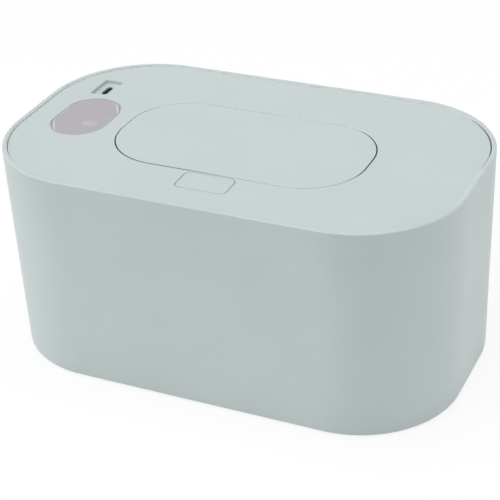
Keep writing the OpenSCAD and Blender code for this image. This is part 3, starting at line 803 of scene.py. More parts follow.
@dataclass(frozen=True)
class SoftRubber:
    """Silicone or rubber: satin, slightly cloudy, with very fine ripple and some bloom."""

    name: str
    colour: Triple
    roughness: float = 0.62
    scatter: float = 0.0

    def material(self) -> bpy.types.Material:
        """Builds the material.

        Returns:
            The material: cloudy colour, and ripple in the bump and roughness.
        """
        g = Graph.of(self.name)
        ripple = g.noise(0.5, 3.0)
        return g.coated(
            Base_Color=g.shade(self.colour, g.noise(9, 4.0), (0.35, 0.65), (0.93, 1.05)),
            Roughness=g.remap(ripple, (0.3, 0.7), (self.roughness - 0.06, self.roughness + 0.08)),
            Normal=g.bump(ripple, 0.01),
            IOR=1.43,
            Subsurface_Weight=self.scatter,
            Subsurface_Scale=1.5 * MM,
        )


@dataclass(frozen=True)
class DrawnMetal:
    """Drawn, rolled or plated metal: fine lines one way, with duller spots."""

    name: str
    colour: Triple
    roughness: float = 0.28
    lines: Triple = (0.06, 1.0, 1.0)
    spots: float = 0.08

    def material(self) -> bpy.types.Material:
        """Builds the material.

        Returns:
            The material: noise stretched along the lines, and cloudy dull spots.
        """
        g = Graph.of(self.name)
        streak = g.noise(0.25, 3.0, self.lines)
        dull = g.remap(g.noise(5, 4.0), (0.5, 0.75), (0.0, self.spots))
        rough = g.remap(streak, (0.3, 0.7), (self.roughness - 0.07, self.roughness + 0.1))
        return g.coated(
            Base_Color=g.shade(self.colour, streak, (0.3, 0.7), (0.88, 1.05)),
            Roughness=g.math("ADD", rough, dull),
            Normal=g.bump(streak, 0.004),
            Metallic=1.0,
        )


@dataclass(frozen=True)
class TintedLens:
    """The smoked display lens: a clear-coated tint, with a painted highlight and painted shade at its edge,
    and paler at its touch spot.
    """

    name: str = "smoked_lens"
    tint: Triple = (0.415, 0.395, 0.425)
    # Painted highlight band and painted joint shade at the lens's edge.
    bright: Triple = (0.58, 0.60, 0.62)
    lens_painted_joint_shade: Triple = (0.26, 0.285, 0.30)
    rim: Triple = (0.55, 0.625, 0.621)
    touch: Triple = (0.52, 0.505, 0.53)

    def material(self) -> bpy.types.Material:
        """Builds the material from the marks that the lens carries.

        Returns:
            The material. The mark edge is 0 where the lens's edge zone begins and 1
            at its edge: a painted highlight band, a dark line of painted shade at the joint
            and the rim, in the cover's colour, follow one another.
            The mark spot is 1 in the middle of the touch spot.
        """
        g = Graph.of(self.name)
        tint = g.shade(self.tint, g.noise(11, 3.0), (0.3, 0.7), (0.985, 1.015))
        colour = g.blend(g.remap(g.mark("spot"), (0.25, 0.75), (0.0, 0.62)), tint, self.touch)
        # Painted highlight band, painted shade along the joint, then the rim in the cover's colour.
        zones = ((self.bright, (0.0, 0.08)), (self.lens_painted_joint_shade, (0.44, 0.50)), (self.rim, (0.80, 0.86)))
        for paint, start in zones:
            colour = g.blend(g.remap(g.mark("edge"), start), colour, paint)
        grain = g.noise(0.22, 2.0)
        return g.coated(
            Base_Color=colour,
            Roughness=g.remap(grain, (0.3, 0.7), (0.30, 0.38)),
            Normal=g.bump(grain, 0.003),
            Coat_Weight=0.25,
            Coat_Roughness=0.18,
        )


@dataclass(frozen=True)
class FoamSheet:
    """Closed-cell foam: matt, with burst bubbles on its skin."""

    name: str = "pad_foam"
    colour: Triple = (0.72, 0.71, 0.67)

    def material(self) -> bpy.types.Material:
        """Builds the material.

        Returns:
            The material: two sizes of cells make pits, with painted shade at their bottoms.
        """
        g = Graph.of(self.name)
        coarse = g.cells(0.9, "SMOOTH_F1").outputs["Distance"]
        fine = g.cells(0.35).outputs["Distance"]
        return g.coated(
            # Painted shade: darker near the middle of each coarse cell, at the bottoms of the pits.
            Base_Color=g.shade(self.colour, coarse, (0.1, 0.5), (0.82, 1.03)),
            Roughness=0.9,
            Normal=g.bump(fine, 0.04, g.bump(coarse, 0.12)),
            Sheen_Weight=0.2,
        )


@dataclass(frozen=True)
class PrintedBoard:
    """Green solder mask over copper tracks, with tinned pads."""

    name: str = "printed_board"
    mask: Triple = (0.012, 0.11, 0.045)
    track: Triple = (0.03, 0.20, 0.085)
    tin: Triple = (0.62, 0.62, 0.60)

    def material(self) -> bpy.types.Material:
        """Builds the material.

        Returns:
            The material. Bands along X in some patches and along Y in the others are
            the tracks, and discs round some points of a cell pattern are the pads.
        """
        g = Graph.of(self.name)
        patch = g.math("GREATER_THAN", g.noise(9, 0.0), 0.5)
        lanes = g.blend(patch, g.bands(1.1, "Y"), g.bands(1.1, "X"))
        tracks = g.math("MULTIPLY", g.math("GREATER_THAN", lanes, 0.6),
                        g.math("GREATER_THAN", g.noise(6, 1.0), 0.46))
        cells = g.cells(4.5)
        red = g.add("SeparateColor", Color=cells.outputs["Color"]).outputs["Red"]
        pads = g.math("MULTIPLY", g.math("LESS_THAN", cells.outputs["Distance"], 0.14),
                      g.math("GREATER_THAN", red, 0.55))
        return g.coated(
            Base_Color=g.blend(pads, g.blend(tracks, self.mask, self.track), self.tin),
            Roughness=g.remap(g.noise(1.5, 3.0), (0.3, 0.7), (0.24, 0.36)),
            Metallic=pads,
            Normal=g.bump(tracks, 0.035),
        )


@dataclass(frozen=True)
class HeaterPrint:
    """Amber film with an etched metal track that runs to and fro."""

    name: str = "heater_print"
    film: Triple = (0.33, 0.13, 0.025)
    track: Triple = (0.55, 0.50, 0.44)

    def material(self) -> bpy.types.Material:
        """Builds the material.

        Returns:
            The material: bands across the film, cut through every 30 mm.
        """
        g = Graph.of(self.name)
        lane = g.math("GREATER_THAN", g.bands(3.0, "Y"), 0.45)
        cut = g.math("LESS_THAN", g.bands(30.0, "X"), 0.985)
        track = g.math("MULTIPLY", lane, cut)
        return g.coated(
            Base_Color=g.blend(track, self.film, self.track),
            Roughness=g.remap(g.noise(3, 3.0), (0.3, 0.7), (0.26, 0.4)),
            Metallic=g.math("MULTIPLY", track, 0.8),
            Normal=g.bump(track, 0.03),
        )


class Finish(Enum):
    """Every finish of the warmer."""

    MINT = ShellPlastic("mint_shell", (0.55, 0.625, 0.621), roughness=0.39, dust=0.5)
    INNER = MouldedPlastic("inner_shell", (0.50, 0.57, 0.56), depth=0.018)
    SILICONE = SoftRubber("clear_silicone", (0.60, 0.64, 0.63), roughness=0.5, scatter=0.25)
    RUBBER = SoftRubber("foot_rubber", (0.045, 0.048, 0.05), roughness=0.7)
    STEEL = DrawnMetal("plated_steel", (0.60, 0.61, 0.62))
    SPRING = DrawnMetal("spring_steel", (0.50, 0.51, 0.53), roughness=0.24)
    BRASS = DrawnMetal("gilt_wire", (0.80, 0.60, 0.30), roughness=0.22)
    ALUMINIUM = DrawnMetal(
        "rolled_plate", (0.78, 0.79, 0.80), roughness=0.34, lines=(0.03, 1.0, 1.0), spots=0.12
    )
    BLACK = MouldedPlastic("socket_black", (0.018, 0.018, 0.02), roughness=0.45)
    EPOXY = MouldedPlastic("epoxy_black", (0.022, 0.022, 0.024), roughness=0.5, grain=0.12)
    FERRITE = MouldedPlastic(
        "ferrite_grey", (0.065, 0.065, 0.07), roughness=0.55, grain=0.2, depth=0.03
    )
    IVORY = MouldedPlastic("ivory_nylon", (0.66, 0.61, 0.48), roughness=0.4)
    CERAMIC = MouldedPlastic(
        "fuse_ceramic", (0.68, 0.64, 0.54), roughness=0.55, grain=0.25, depth=0.03
    )
    COVER = MouldedPlastic(
        "wire_cover", (0.42, 0.03, 0.025), roughness=0.33, grain=0.5, depth=0.006
    )
    FACE = MouldedPlastic(
        "digit_face", (0.10, 0.10, 0.105), roughness=0.4, grain=0.3, depth=0.006
    )
    LENS = TintedLens()
    FOAM = FoamSheet()
    BOARD = PrintedBoard()
    HEATER = HeaterPrint()

    @cache
    def material(self) -> bpy.types.Material:
        """Returns the material, built at its first use and then shared."""
        return self.value.material()


def dress(finish: Finish, *nodes: str) -> None:
    """Gives CAD nodes a finish.

    Args:
        finish: The finish.
        *nodes: Names of the CAD nodes.
    """
    for name in nodes:
        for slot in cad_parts[name].material_slots:
            slot.material = finish.material()
        LOG.info("dressed %s in %s", name, finish.name)


def piece(name: str, skin: Skin, body: Body, slot: Slot, finish: Finish,
          replaced: tuple[str, ...] = (), crease: float = 40.0) -> None:
    """Makes a piece from a skin and sets it on its body.

    Args:
        name: The piece's name.
        skin: Its skin, in millimetres.
        body: The body that it rides on.
        slot: The record's slot, handed on to settle.
        finish: Its finish.
        replaced: The CAD nodes that it stands for.
        crease: Edges bent by more than this many degrees stay sharp.
    """
    settle(shown(name, skin.mesh(name, crease)), body, slot, finish, replaced)


def settle(made: bpy.types.Object, body: Body, slot: Slot, finish: Finish,
           replaced: tuple[str, ...] = (), still: bool = False) -> None:
    """Gives an object its finish and body, and hides the CAD nodes that it stands for.

    Args:
        made: The object, already in the scene.
        body: The body that it rides on.
        slot: Not used.
        finish: Its finish.
        replaced: The CAD nodes that it stands for.
        still: Leaves out the ride.
    """
    made.data.materials.clear()
    made.data.materials.append(finish.material())
    if not still:
        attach(made, body.value)
    if replaced:
        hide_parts(*replaced)
    LOG.info("made %s with %d points", made.name, len(made.data.vertices))


# ---------- tub ----------


@dataclass
class Tub:
    """The moulded tub and its four rubber feet."""

    foot_r: float = 8.0
    foot_h: float = 2.0
    foot_at: Pair = (80.5, 32.0)
    groove_in: Pair = (2.3, 4.7)
    groove: Triple = (0.5, 0.3, 0.4)

    def feet(self) -> None:
        """Makes the feet: turned pads with round edges and two grooves underneath.

        A groove's middle lies groove_in from the pad's edge. The groove is 2 groove[0]
        wide at its mouth, 2 groove[1] wide at its bottom and groove[2] deep.
        """
        r, low = self.foot_r, LID_Z
        mouth, bottom, deep = self.groove
        dip = np.array([[mouth, 0.0], [bottom, -deep], [-bottom, -deep], [-mouth, 0.0]])
        corners = np.concatenate([
            [[0.0, low - self.foot_h], [r, low - self.foot_h], [r, low - 0.3], [r - 0.5, low]],
            *(dip + [r - away, low] for away in self.groove_in),
            [[0.0, low]],
        ])
        x, y = self.foot_at
        places = ((x, y), (-x, y), (-x, -y), (x, -y))
        pads = [turned(corners, 0.18, place) for place in places]
        piece("feet_moulded", join(*pads), Body.TUB, Slot.FEET, Finish.RUBBER, ("rubber_feet",))

    def build(self) -> None:
        """Dresses the tub and makes its feet."""
        dress(Finish.MINT, "tub")
        self.feet()


# ---------- lid ----------


@dataclass
class LidShell:
    """The lid's moulded cover and lower shell, its screws, seal and outlet membrane."""

    half: Pair = LID_HALF
    seal_r: Pair = (45.5, 50.75)
    flange_r: float = 48.5
    seal_top: float = 10.0
    seal_low: float = 12.0
    outlet: Pair = (0.5, -4.0)
    outlet_half: float = 30.0
    membrane_r: float = 19.08
    membrane_depth: Pair = (15.4, 16.9)
    web: float = 0.25
    bead: Pair = (0.85, 0.9)
    grip: float = 2.6
    slot_half: float = 27.0
    slot_r: float = 6.0
    nick_pitch: float = 22.0
    nick_r: float = 1.2
    nick_reach: float = 9.8

    def seal(self) -> None:
        """Makes the lid's seal: a rounded ring with a soft lip that meets the tub."""
        inner, lip = self.seal_r
        top, low, f = self.seal_top, self.seal_low, self.flange_r
        corners = np.array([
            [inner, top], [f - 0.2, top], [f, top + 0.3], [lip - 0.3, top + 0.3],
            [lip, top + 0.6], [lip - 0.2, top + 0.95], [f, top + 1.1], [f - 0.4, low],
            [inner + 2.0, low], [inner + 1.7, low - 0.35], [inner + 1.1, low - 0.35],
            [inner + 0.8, low], [inner, low],
        ])
        skin = around(self.half, soften(corners, cut=0.25), steps=24)
        piece("lid_seal_lip", skin, Body.LID, Slot.SILICONE, Finish.SILICONE, ("lid_seal",), crease=60)

    def opening(self) -> tuple[Array, Array]:
        """Works out the membrane's slot and, point for point, its outer edge.

        The slot's right end is a half circle. Its rear edge runs left through three
        nicks, each two straight sides and a half circle, and the left end and front
        edge are the same half turned by 180 degrees. The outer edge has the same
        half circle, and its straight side is shared out by the length along the slot.

        Returns:
            The slot's points and the outer edge's points, in plan.
        """
        end = angles(-90, 90, 25)
        arc = beside(np.cos(end), np.sin(end))
        tip = angles(0, 180, 9)
        r = self.nick_r
        side = np.linspace(self.slot_r, self.nick_reach, 5)[:-1]
        nick = np.concatenate([
            beside(r, side),
            beside(r * np.cos(tip), self.nick_reach + r * np.sin(tip)),
            beside(-r, side[::-1]),
        ])
        shift = np.array([1.0, 0.0, -1.0])[:, None, None] * np.array([self.nick_pitch, 0.0])
        rear = np.concatenate([
            [[self.slot_half - 0.5, self.slot_r]],
            (nick[None] + shift).reshape(-1, 2),
            [[-self.slot_half + 0.5, self.slot_r]],
        ])
        run = np.concatenate([[0.0], np.cumsum(np.linalg.norm(np.diff(rear, axis=0), axis=1))])
        share = (run + 1.0) / (run[-1] + 2.0)
        wide = self.outlet_half * (1 - 2 * share)
        slot = np.concatenate([self.slot_r * arc + [self.slot_half, 0.0], rear])
        round_end = self.membrane_r * arc + [self.outlet_half, 0.0]
        edge = np.concatenate([round_end, beside(wide, self.membrane_r)])
        return np.concatenate([slot, -slot]), np.concatenate([edge, -edge])

    def membrane(self) -> None:
        """Makes the outlet's membrane: a thin web with a beaded slot and a thick edge.

        Each column of the grid runs once round the section: the bead is most of an
        ellipse beside the slot, with the half axes bead, and the web joins it to the
        clamped edge, which is grip wide. A point is slot (1 - w) + edge w + o times
        the way from slot to edge.
        """
        slot, edge = self.opening()
        top, low = self.membrane_depth
        way = edge - slot
        way /= np.linalg.norm(way, axis=1, keepdims=True)
        a = angles(60, 300, 11)
        wide, high = self.bead
        bead = beside(0.0, wide * (1 + np.cos(a)), (top + low) / 2 - high * np.sin(a))
        edging = np.array([
            [0, self.grip, self.web], [1, -self.grip, self.web], [1, 0.6 - self.grip, 0],
            [1, -0.2, 0], [1, 0, 0.2],
        ])
        rows = np.concatenate([bead, edging * [1, 1, -1] + [0, 0, low], edging[::-1] + [0, 0, top]])
        w, o = rows[:, 0:1], rows[:, 1:2]
        plan = slot[:, None] * (1 - w) + edge[:, None] * w + o * way[:, None] + np.array(self.outlet)
        grid = beside(plan[..., 0], plan[..., 1], LID_Z - rows[:, 2])
        skin = lattice(grid, (True, True)).outward()
        piece("outlet_membrane_web", skin, Body.LID, Slot.SILICONE, Finish.SILICONE,
              ("outlet_membrane",), crease=50)

    def build(self) -> None:
        """Dresses the shells and screws, and makes the soft pieces."""
        dress(Finish.MINT, "lid_cover")
        dress(Finish.INNER, "lid_base")
        dress(Finish.STEEL, "lid_screws")
        self.seal()
        self.membrane()


@dataclass
class Heater:
    """The heated plate and its film, foam, sensor, fuse and leads."""

    film_depth: float = 22.4
    pad_cell: float = 0.7
    pad_ease: float = 0.5
    pad_eases: int = 4
    sensor: Pair = (-75.1, -5.0)
    sensor_l: float = 6.0
    sensor_r: float = 1.1
    waist: Pair = (0.08, 0.93)
    fuse: Pair = (-68.1, -5.5)
    fuse_top: float = 20.5
    fuse_size: Triple = (4.0, 9.0, 1.9)
    lead_x: float = -81.3
    lead_r: float = 0.6
    lead_top: float = 16.6
    straight_y: Pair = (-16.0, -13.0)
    bent_y: Pair = (-10.0, -7.0)
    bow: float = 0.25
    bend: float = 2.0
    tail: float = 3.0

    def pad(self) -> None:
        """Makes the foam pad: the CAD outline filled with cells and eased at its edges."""
        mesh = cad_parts["insulation_pad"].data.copy()
        weld(mesh, 10 * WELD)
        rough = shown("pad_blank", mesh)
        grid = rough.modifiers.new("cells", "REMESH")
        grid.mode = "VOXEL"
        grid.voxel_size = self.pad_cell * MM
        ease = rough.modifiers.new("ease", "SMOOTH")
        ease.factor = self.pad_ease
        ease.iterations = self.pad_eases
        graph = bpy.context.evaluated_depsgraph_get()
        made = shown("foam_pad", bpy.data.meshes.new_from_object(rough.evaluated_get(graph)))
        bpy.data.objects.remove(rough)
        made.data.shade_smooth()
        settle(made, Body.LID, Slot.FOAM, Finish.FOAM, ("insulation_pad",))

    def sensors(self) -> None:
        """Makes the thermistor, a dipped bead with a waist, and the fuse, a ceramic block."""
        r, length = self.sensor_r, self.sensor_l
        a = angles(90, 0, 7)
        cap = beside(r * np.cos(a), r * (1 - np.sin(a)))
        reach, narrow = self.waist
        middle = np.array([[1.0, 0.5 - reach], [narrow, 0.5], [1.0, 0.5 + reach]]) * [r, length]
        tail = [0.0, length] + cap[::-1] * [1.0, -1.0]
        bead = around((0.0, 0.0), np.concatenate([cap, middle, tail]), steps=6, closed=False)
        turned = bead.points[:, [0, 2, 1]] - np.array([0.0, LID_Z - length, 0.0])
        lying = Skin(turned, bead.quads, bead.caps).outward()
        height = LID_Z - self.film_depth + r
        piece("thermistor_bead", lying.moved((*self.sensor, height)), Body.LID, Slot.EPOXY,
              Finish.EPOXY, ("thermistor",))
        body = block(self.fuse, self.fuse_size, corner=0.5, top=self.fuse_top, edge=0.25)
        piece("fuse_ceramic_block", body, Body.LID, Slot.FUSE, Finish.CERAMIC, ("thermal_fuse",))

    def leads(self) -> None:
        """Makes the four leads: two straight down, two turned towards the sensor.

        A straight lead goes down with a bow, a sine of the way down. A bent one
        follows a quarter circle and then runs along X.
        """

        def line(out: Array | float, height: Array | float) -> Array:
            """Points of a lead at the middle in Y, from their distances out and heights."""
            return beside(self.lead_x + out, 0.0, height)

        high, low = LID_Z - self.lead_top - 0.3, LID_Z - self.film_depth
        t = np.linspace(0, 1, 16)
        down = line(self.bow * np.sin(np.pi * t), high + (low + self.lead_r - high) * t)
        floor = low + self.lead_r + 0.05
        a = angles(0, 90, 12)
        arc = line(self.bend * (1 - np.cos(a)), floor + self.bend * (1 - np.sin(a)))
        drop = line(0.0, np.linspace(high, floor + self.bend, 9)[:-1])
        out = line(self.bend + np.linspace(0, self.tail, 7)[1:], floor)
        bent = np.concatenate([drop, arc, out])
        wires = [tube(down + [0, y, 0], self.lead_r, up=(0, 1, 0)) for y in self.straight_y]
        wires += [tube(bent + [0, y, 0], self.lead_r, up=(0, 1, 0)) for y in self.bent_y]
        piece("lead_wire_set", join(*wires), Body.LID, Slot.WIRE, Finish.COVER, ("lead_wires",), crease=60)

    def build(self) -> None:
        """Dresses the plate and the film, and makes the rest."""
        dress(Finish.ALUMINIUM, "heat_plate")
        dress(Finish.HEATER, "heater_film")
        self.pad()
        self.sensors()
        self.leads()


@dataclass
class Display:
    """The lens in the lid's face, the digit display and the touch spring below it."""

    centre: Pair = LENS_AT
    half: Pair = LENS_HALF
    radius: float = LENS_R
    corner_steps: tuple[int, int] = (16, 11)
    lower_r: float = 12.4
    lens_t: float = 1.6
    lower_t: float = 3.2
    edge: float = 0.5
    sink: float = 0.1
    rise: Pair = (0.9, 0.55)
    spot: Pair = (-83.4, -8.6)
    spot_size: Pair = (4.9, 2.9)
    spot_rise: float = 0.2
    zone: Pair = (0.4, 2.1)
    zone_way: Pair = (0.86, 0.51)
    coil: Pair = (-89.1, -15.08)
    coil_r: float = 3.2
    coil_wire: float = 0.4
    coil_turns: float = 5.0
    coil_depth: Pair = (3.8, 10.5)
    coil_end: float = 0.45
    closed_turn: Pair = (0.35, 1.0)
    closed_pace: float = 0.36

    def lens(self) -> None:
        """Makes the lens: a flat-topped plate with a round edge and a low touch spot.

        Rings of radius r run from the middle line out to the edge, and the face comes
        up from its sink to the edge between the distances rise. The touch spot
        rises by a bell over the fourth power of the distance from its middle, each
        axis measured in the spot's own size. The edge zone is zone[0] wide, and wider
        by zone[1] times the tenth power of the cosine between the way out and
        zone_way; the mark edge falls from 1 at the edge to 0 where the zone begins.
        """
        r = self.radius
        a = angles(90, 0, 6)
        flat = np.linspace(0.0, r - self.edge - self.rise[0], 22)
        top = np.concatenate([
            beside(flat, self.sink),
            [[r - self.edge - self.rise[1], self.sink + 0.05]],
            beside(r - self.edge * (1 - np.cos(a)), self.edge * (1 - np.sin(a))),
        ])
        low = soften(np.array([
            [r, self.lens_t], [self.lower_r, self.lens_t], [self.lower_r, self.lower_t],
            [0.0, self.lower_t],
        ]), cut=0.2, steps=3)[:-4]
        section = np.concatenate([top, low, [[0.0, self.lower_t]]])
        steps, runs = self.corner_steps
        skin = around(self.half, section, self.centre, steps, runs, closed=False)
        _, ways = ring(self.half, steps, runs)
        rings = np.tile(section[:, 0], len(ways))
        upper = np.tile(np.arange(len(section)) < len(flat), len(ways))
        away = (skin.points[:, :2] - np.array(self.spot)) / np.array(self.spot_size)
        bell = np.exp(-np.sum(away**2, axis=1) ** 2)
        skin.points[:, 2] += self.spot_rise * bell * upper
        # The edge zone holds the lens's painted highlight band and painted joint shade; it is widest along
        # zone_way.
        wide = self.zone[0] + self.zone[1] * (ways @ np.array(self.zone_way)) ** 10
        depth = (r - rings) / np.repeat(wide, len(section))
        skin.marks = {"edge": 1.0 - depth, "spot": bell * upper}
        piece("lens_smoked", skin, Body.LID, Slot.WINDOW, Finish.LENS, ("display_window",), crease=50)

    def spring(self) -> None:
        """Makes the touch spring: a round-wire coil with a closed turn at each end.

        The angle runs evenly. The rise per step is closed_pace at both ends, grows by
        1 a turn between the turns closed_turn, is even between them, and is summed
        up along the wire.
        """
        (x, y), r = self.coil, self.coil_r
        high, low = (LID_Z - d for d in self.coil_depth)
        a = np.linspace(0, 2 * np.pi * self.coil_turns, int(36 * self.coil_turns) + 1)
        turn = a / (2 * np.pi)
        first, last = self.closed_turn
        pace = np.clip(np.minimum(turn, self.coil_turns - turn), first, last) - first + self.closed_pace
        rise = np.concatenate([[0.0], np.cumsum(pace[1:] + pace[:-1])])
        height = low + self.coil_end + rise / rise[-1] * (high - low - 2 * self.coil_end)
        path = beside(x + r * np.cos(a), y + r * np.sin(a), height)
        coil = tube(path, self.coil_wire, up=(0, 0, 1), sides=12)
        piece("touch_coil", coil, Body.LID, Slot.BRASS, Finish.BRASS, ("touch_spring",), crease=60)

    def build(self) -> None:
        """Makes the lens and the spring, and dresses the digit display."""
        self.lens()
        self.spring()
        dress(Finish.FACE, "digit_display")


@dataclass
class ControlBoard:
    """The board and what is soldered to it, and the power socket."""

    face: float = 12.6
    chip: Pair = (-92.1, 8.0)
    chip_size: Triple = (5.0, 6.2, 1.3)
    chip_leg: Triple = (0.95, -0.5, 0.14)
    chip_pitch: float = 1.27
    switch: Pair = (-82.1, 8.0)
    switch_size: Triple = (6.6, 6.2, 2.3)
    switch_leg: Triple = (1.9, -0.62, 0.22)
    switch_pitch: float = 2.28
    leg_w: Pair = (0.42, 0.8)
    leg_depth: Pair = (0.6, 0.75)
    choke: Pair = (-95.9, 33.0)
    choke_size: Triple = (7.4, 7.4, 3.6)
    can: Pair = (-83.9, 33.0)
    can_r: float = 3.1
    can_h: float = 4.6
    plugs: tuple[Pair, ...] = ((-81.3, -14.5), (-81.3, -8.5))
    plug_size: Triple = (4.4, 5.6, 4.0)
    collar: Triple = (4.9, 5.3, 0.9)
    collar_depth: float = 1.2

    def chips(self) -> None:
        """Makes the controller chip and the power transistor, both with bent legs.

        A leg's section starts inside the body's side, leg_depth below the board, and
        bends up to the board. The chip has four legs on each of two sides, and the
        transistor three on one.
        """
        (x, y), (chip_w, switch_w) = self.chip, self.leg_w
        high = [LID_Z - self.face - depth for depth in self.leg_depth]
        bent = leg(*self.chip_leg)
        legs: list[Skin] = []
        for side in (1, -1):
            start = np.zeros((4, 3)) + [x + side * self.chip_size[0] / 2, y, high[0]]
            start[:, 1] += self.chip_pitch * (np.arange(4) - 1.5)
            legs.append(strips(bent * [side, 1], start, chip_w, along_x=False))
        body = block(self.chip, self.chip_size, corner=0.2, top=self.face + 0.06, edge=0.12)
        piece("controller_body", body, Body.LID, Slot.CHIP, Finish.EPOXY, ("controller_chip",))
        x, y = self.switch
        start = np.zeros((3, 3)) + [x, y - self.switch_size[1] / 2, high[1]]
        start[:, 0] += self.switch_pitch * (np.arange(3) - 1.0)
        legs.append(strips(leg(*self.switch_leg) * [-1, 1], start, switch_w, along_x=True))
        power = block(self.switch, self.switch_size, corner=0.3, top=self.face + 0.05, edge=0.2)
        piece("transistor_body", power, Body.LID, Slot.CHIP, Finish.EPOXY, ("power_transistor",))
        piece("chip_legs", join(*legs), Body.LID, Slot.STEEL, Finish.STEEL)

    def choke_and_can(self) -> None:
        """Makes the inductor, a ferrite block with end pads, and the crimped capacitor."""
        core = block(self.choke, self.choke_size, corner=1.2, top=self.face, edge=0.35)
        piece("choke_core", core, Body.LID, Slot.FERRITE, Finish.FERRITE, ("power_inductor",))
        r, top = self.can_r, self.face
        corners = np.array([
            [0.0, top], [r, top], [r, top + 0.8], [r - 0.3, top + 1.15], [r, top + 1.5],
            [r, top + self.can_h], [0.4, top + self.can_h - 0.12], [0.0, top + self.can_h],
        ])
        can = turned(corners, 0.3, self.can)
        piece("capacitor_crimped", can, Body.LID, Slot.CAN, Finish.ALUMINIUM, ("storage_capacitor",))

    def connectors(self) -> None:
        """Makes the two plug housings, each a block with a collar."""
        parts: list[Skin] = []
        low = self.face + self.collar_depth
        for centre in self.plugs:
            parts.append(block(centre, self.plug_size, corner=0.35, top=self.face, edge=0.15))
            parts.append(block(centre, self.collar, corner=0.3, top=low, edge=0.12))
        piece("plug_housings", join(*parts), Body.LID, Slot.IVORY, Finish.IVORY, ("wire_connectors",))

    def build(self) -> None:
        """Dresses the board, its screws and the socket, and makes the components."""
        dress(Finish.BOARD, "control_board")
        dress(Finish.STEEL, "board_screws", "power_socket_shell")
        dress(Finish.BLACK, "power_socket_tongue")
        self.chips()
        self.choke_and_can()
        self.connectors()


# ---------- latch, hinge, flap and button ----------


@dataclass
class HingeAndLatch:
    """The hinge pins, the wound springs on them, and the latch's leaf spring."""

    axis: Triple = (0.5, 38.25, 108.6)
    start: float = 34.6
    mean_r: float = 1.5
    wire_r: float = 0.25
    pitch: float = 0.75
    turn: Pair = (25.0, 1662.0)
    first_leg: float = 5.2
    last_leg: float = 4.4
    foot: float = 3.5
    bend: float = 0.6

    @property
    def wound(self) -> float:
        """The length of the winding along the pin."""
        return self.pitch * (self.turn[1] - self.turn[0]) / 360

    def wire(self, side: int) -> Skin:
        """Winds one torsion spring.

        In the plane across the pin, a winding's point is mean_r (cos a, sin a) and
        its way is (-sin a, cos a). The first leg runs in along that way, the coil
        advances by one pitch a turn, the last leg runs out along the way, and a
        quarter circle turns it in beside the arm.

        Args:
            side: 1 for the right spring and -1 for the left.

        Returns:
            The spring's skin.
        """
        a0, a1 = np.radians(self.turn)

        def rim(a: Array) -> Array:
            """Points of the winding across the pin."""
            return self.mean_r * beside(np.cos(a), np.sin(a))

        def way(a: float) -> Array:
            """The direction in which the winding runs at an angle."""
            return np.array([-math.sin(a), math.cos(a)])

        t = np.linspace(self.first_leg, 0, 14)[:-1, None]
        lead = np.concatenate([0 * t, rim(a0) - t * way(a0)], axis=1)
        a = np.linspace(a0, a1, 190)
        coil = np.concatenate([-self.pitch * (a - a0)[:, None] / (2 * np.pi), rim(a)], axis=1)
        t = np.linspace(0, self.last_leg - self.bend, 10)[1:, None]
        out = np.concatenate([0 * t - self.wound, rim(a1) + t * way(a1)], axis=1)
        b = angles(0, 90, 8)[1:, None]
        sideways = -self.wound - self.bend * (1 - np.cos(b))
        curve = np.concatenate([sideways, out[-1, 1:] + self.bend * np.sin(b) * way(a1)], axis=1)
        t = np.linspace(0, self.foot - self.bend, 7)[1:, None]
        foot = curve[-1] - t * [1.0, 0.0, 0.0]
        path = np.concatenate([lead, coil, out, curve, foot])
        straight = np.zeros(len(lead) + len(coil) + len(out))
        share = np.concatenate([straight, np.sin(b[:, 0]), np.ones(len(foot))])[:, None]
        up = (1 - share) * [1.0, 0.0, 0.0] + share * [0.0, *way(a1)]
        mirror = np.array([side, 1.0, 1.0])
        place = np.array(self.axis) + np.array([side * self.start, 0.0, 0.0])
        return tube(path * mirror + place, self.wire_r, up * mirror, sides=10)

    def springs(self) -> None:
        """Makes both springs, which ride on no body."""
        for side, name in ((1, "flap_spring_right"), (-1, "flap_spring_left")):
            made = shown(name, self.wire(side).mesh(name, crease=60))
            settle(made, Body.LID, Slot.SPRING, Finish.SPRING, ("flap_springs",), still=True)
            x, y, z = self.axis
            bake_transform(made)

    def build(self) -> None:
        """Dresses the pins and the latch, and makes the springs."""
        dress(Finish.STEEL, "hinge_pins", "latch_screw")
        dress(Finish.SPRING, "latch_spring")
        self.springs()


@dataclass
class Flap:
    """The dispensing flap: its face, its frame with the arms, and its seal."""

    centre: Pair = (0.5, -4.0)
    half: Pair = (30.0, 0.0)
    seal_r: Pair = (17.2, 20.6)
    seal_depth: Pair = (2.8, 5.3)

    def seal(self) -> None:
        """Makes the flap's seal: a ring with two soft lips that press on the collar."""
        r0, r1 = self.seal_r
        top, low = self.seal_depth
        corners = np.array([
            [r0, top], [r1, top], [r1, top + 1.0], [r1 - 0.35, top + 1.5], [r1, low - 0.3],
            [r1 - 0.55, low], [r1 - 1.25, low - 0.15], [(r0 + r1) / 2, low - 0.75],
            [r0 + 1.25, low - 0.15], [r0 + 0.55, low], [r0, low - 0.3], [r0 + 0.35, top + 1.5],
            [r0, top + 1.0],
        ])
        skin = around(self.half, soften(corners, cut=0.4), self.centre, steps=24)
        piece("flap_seal_ring", skin, Body.FLAP, Slot.SILICONE, Finish.SILICONE, ("flap_seal",), crease=60)

    def build(self) -> None:
        """Dresses the flap's face and frame, and makes its seal."""
        dress(Finish.MINT, "flap_panel")
        dress(Finish.INNER, "flap_frame")
        self.seal()


@dataclass
class ReleaseButton:
    """The small key in front of the flap."""

    def build(self) -> None:
        """Dresses the button like the lid around it."""
        dress(Finish.MINT, "release_button")


# ---------- stage ----------


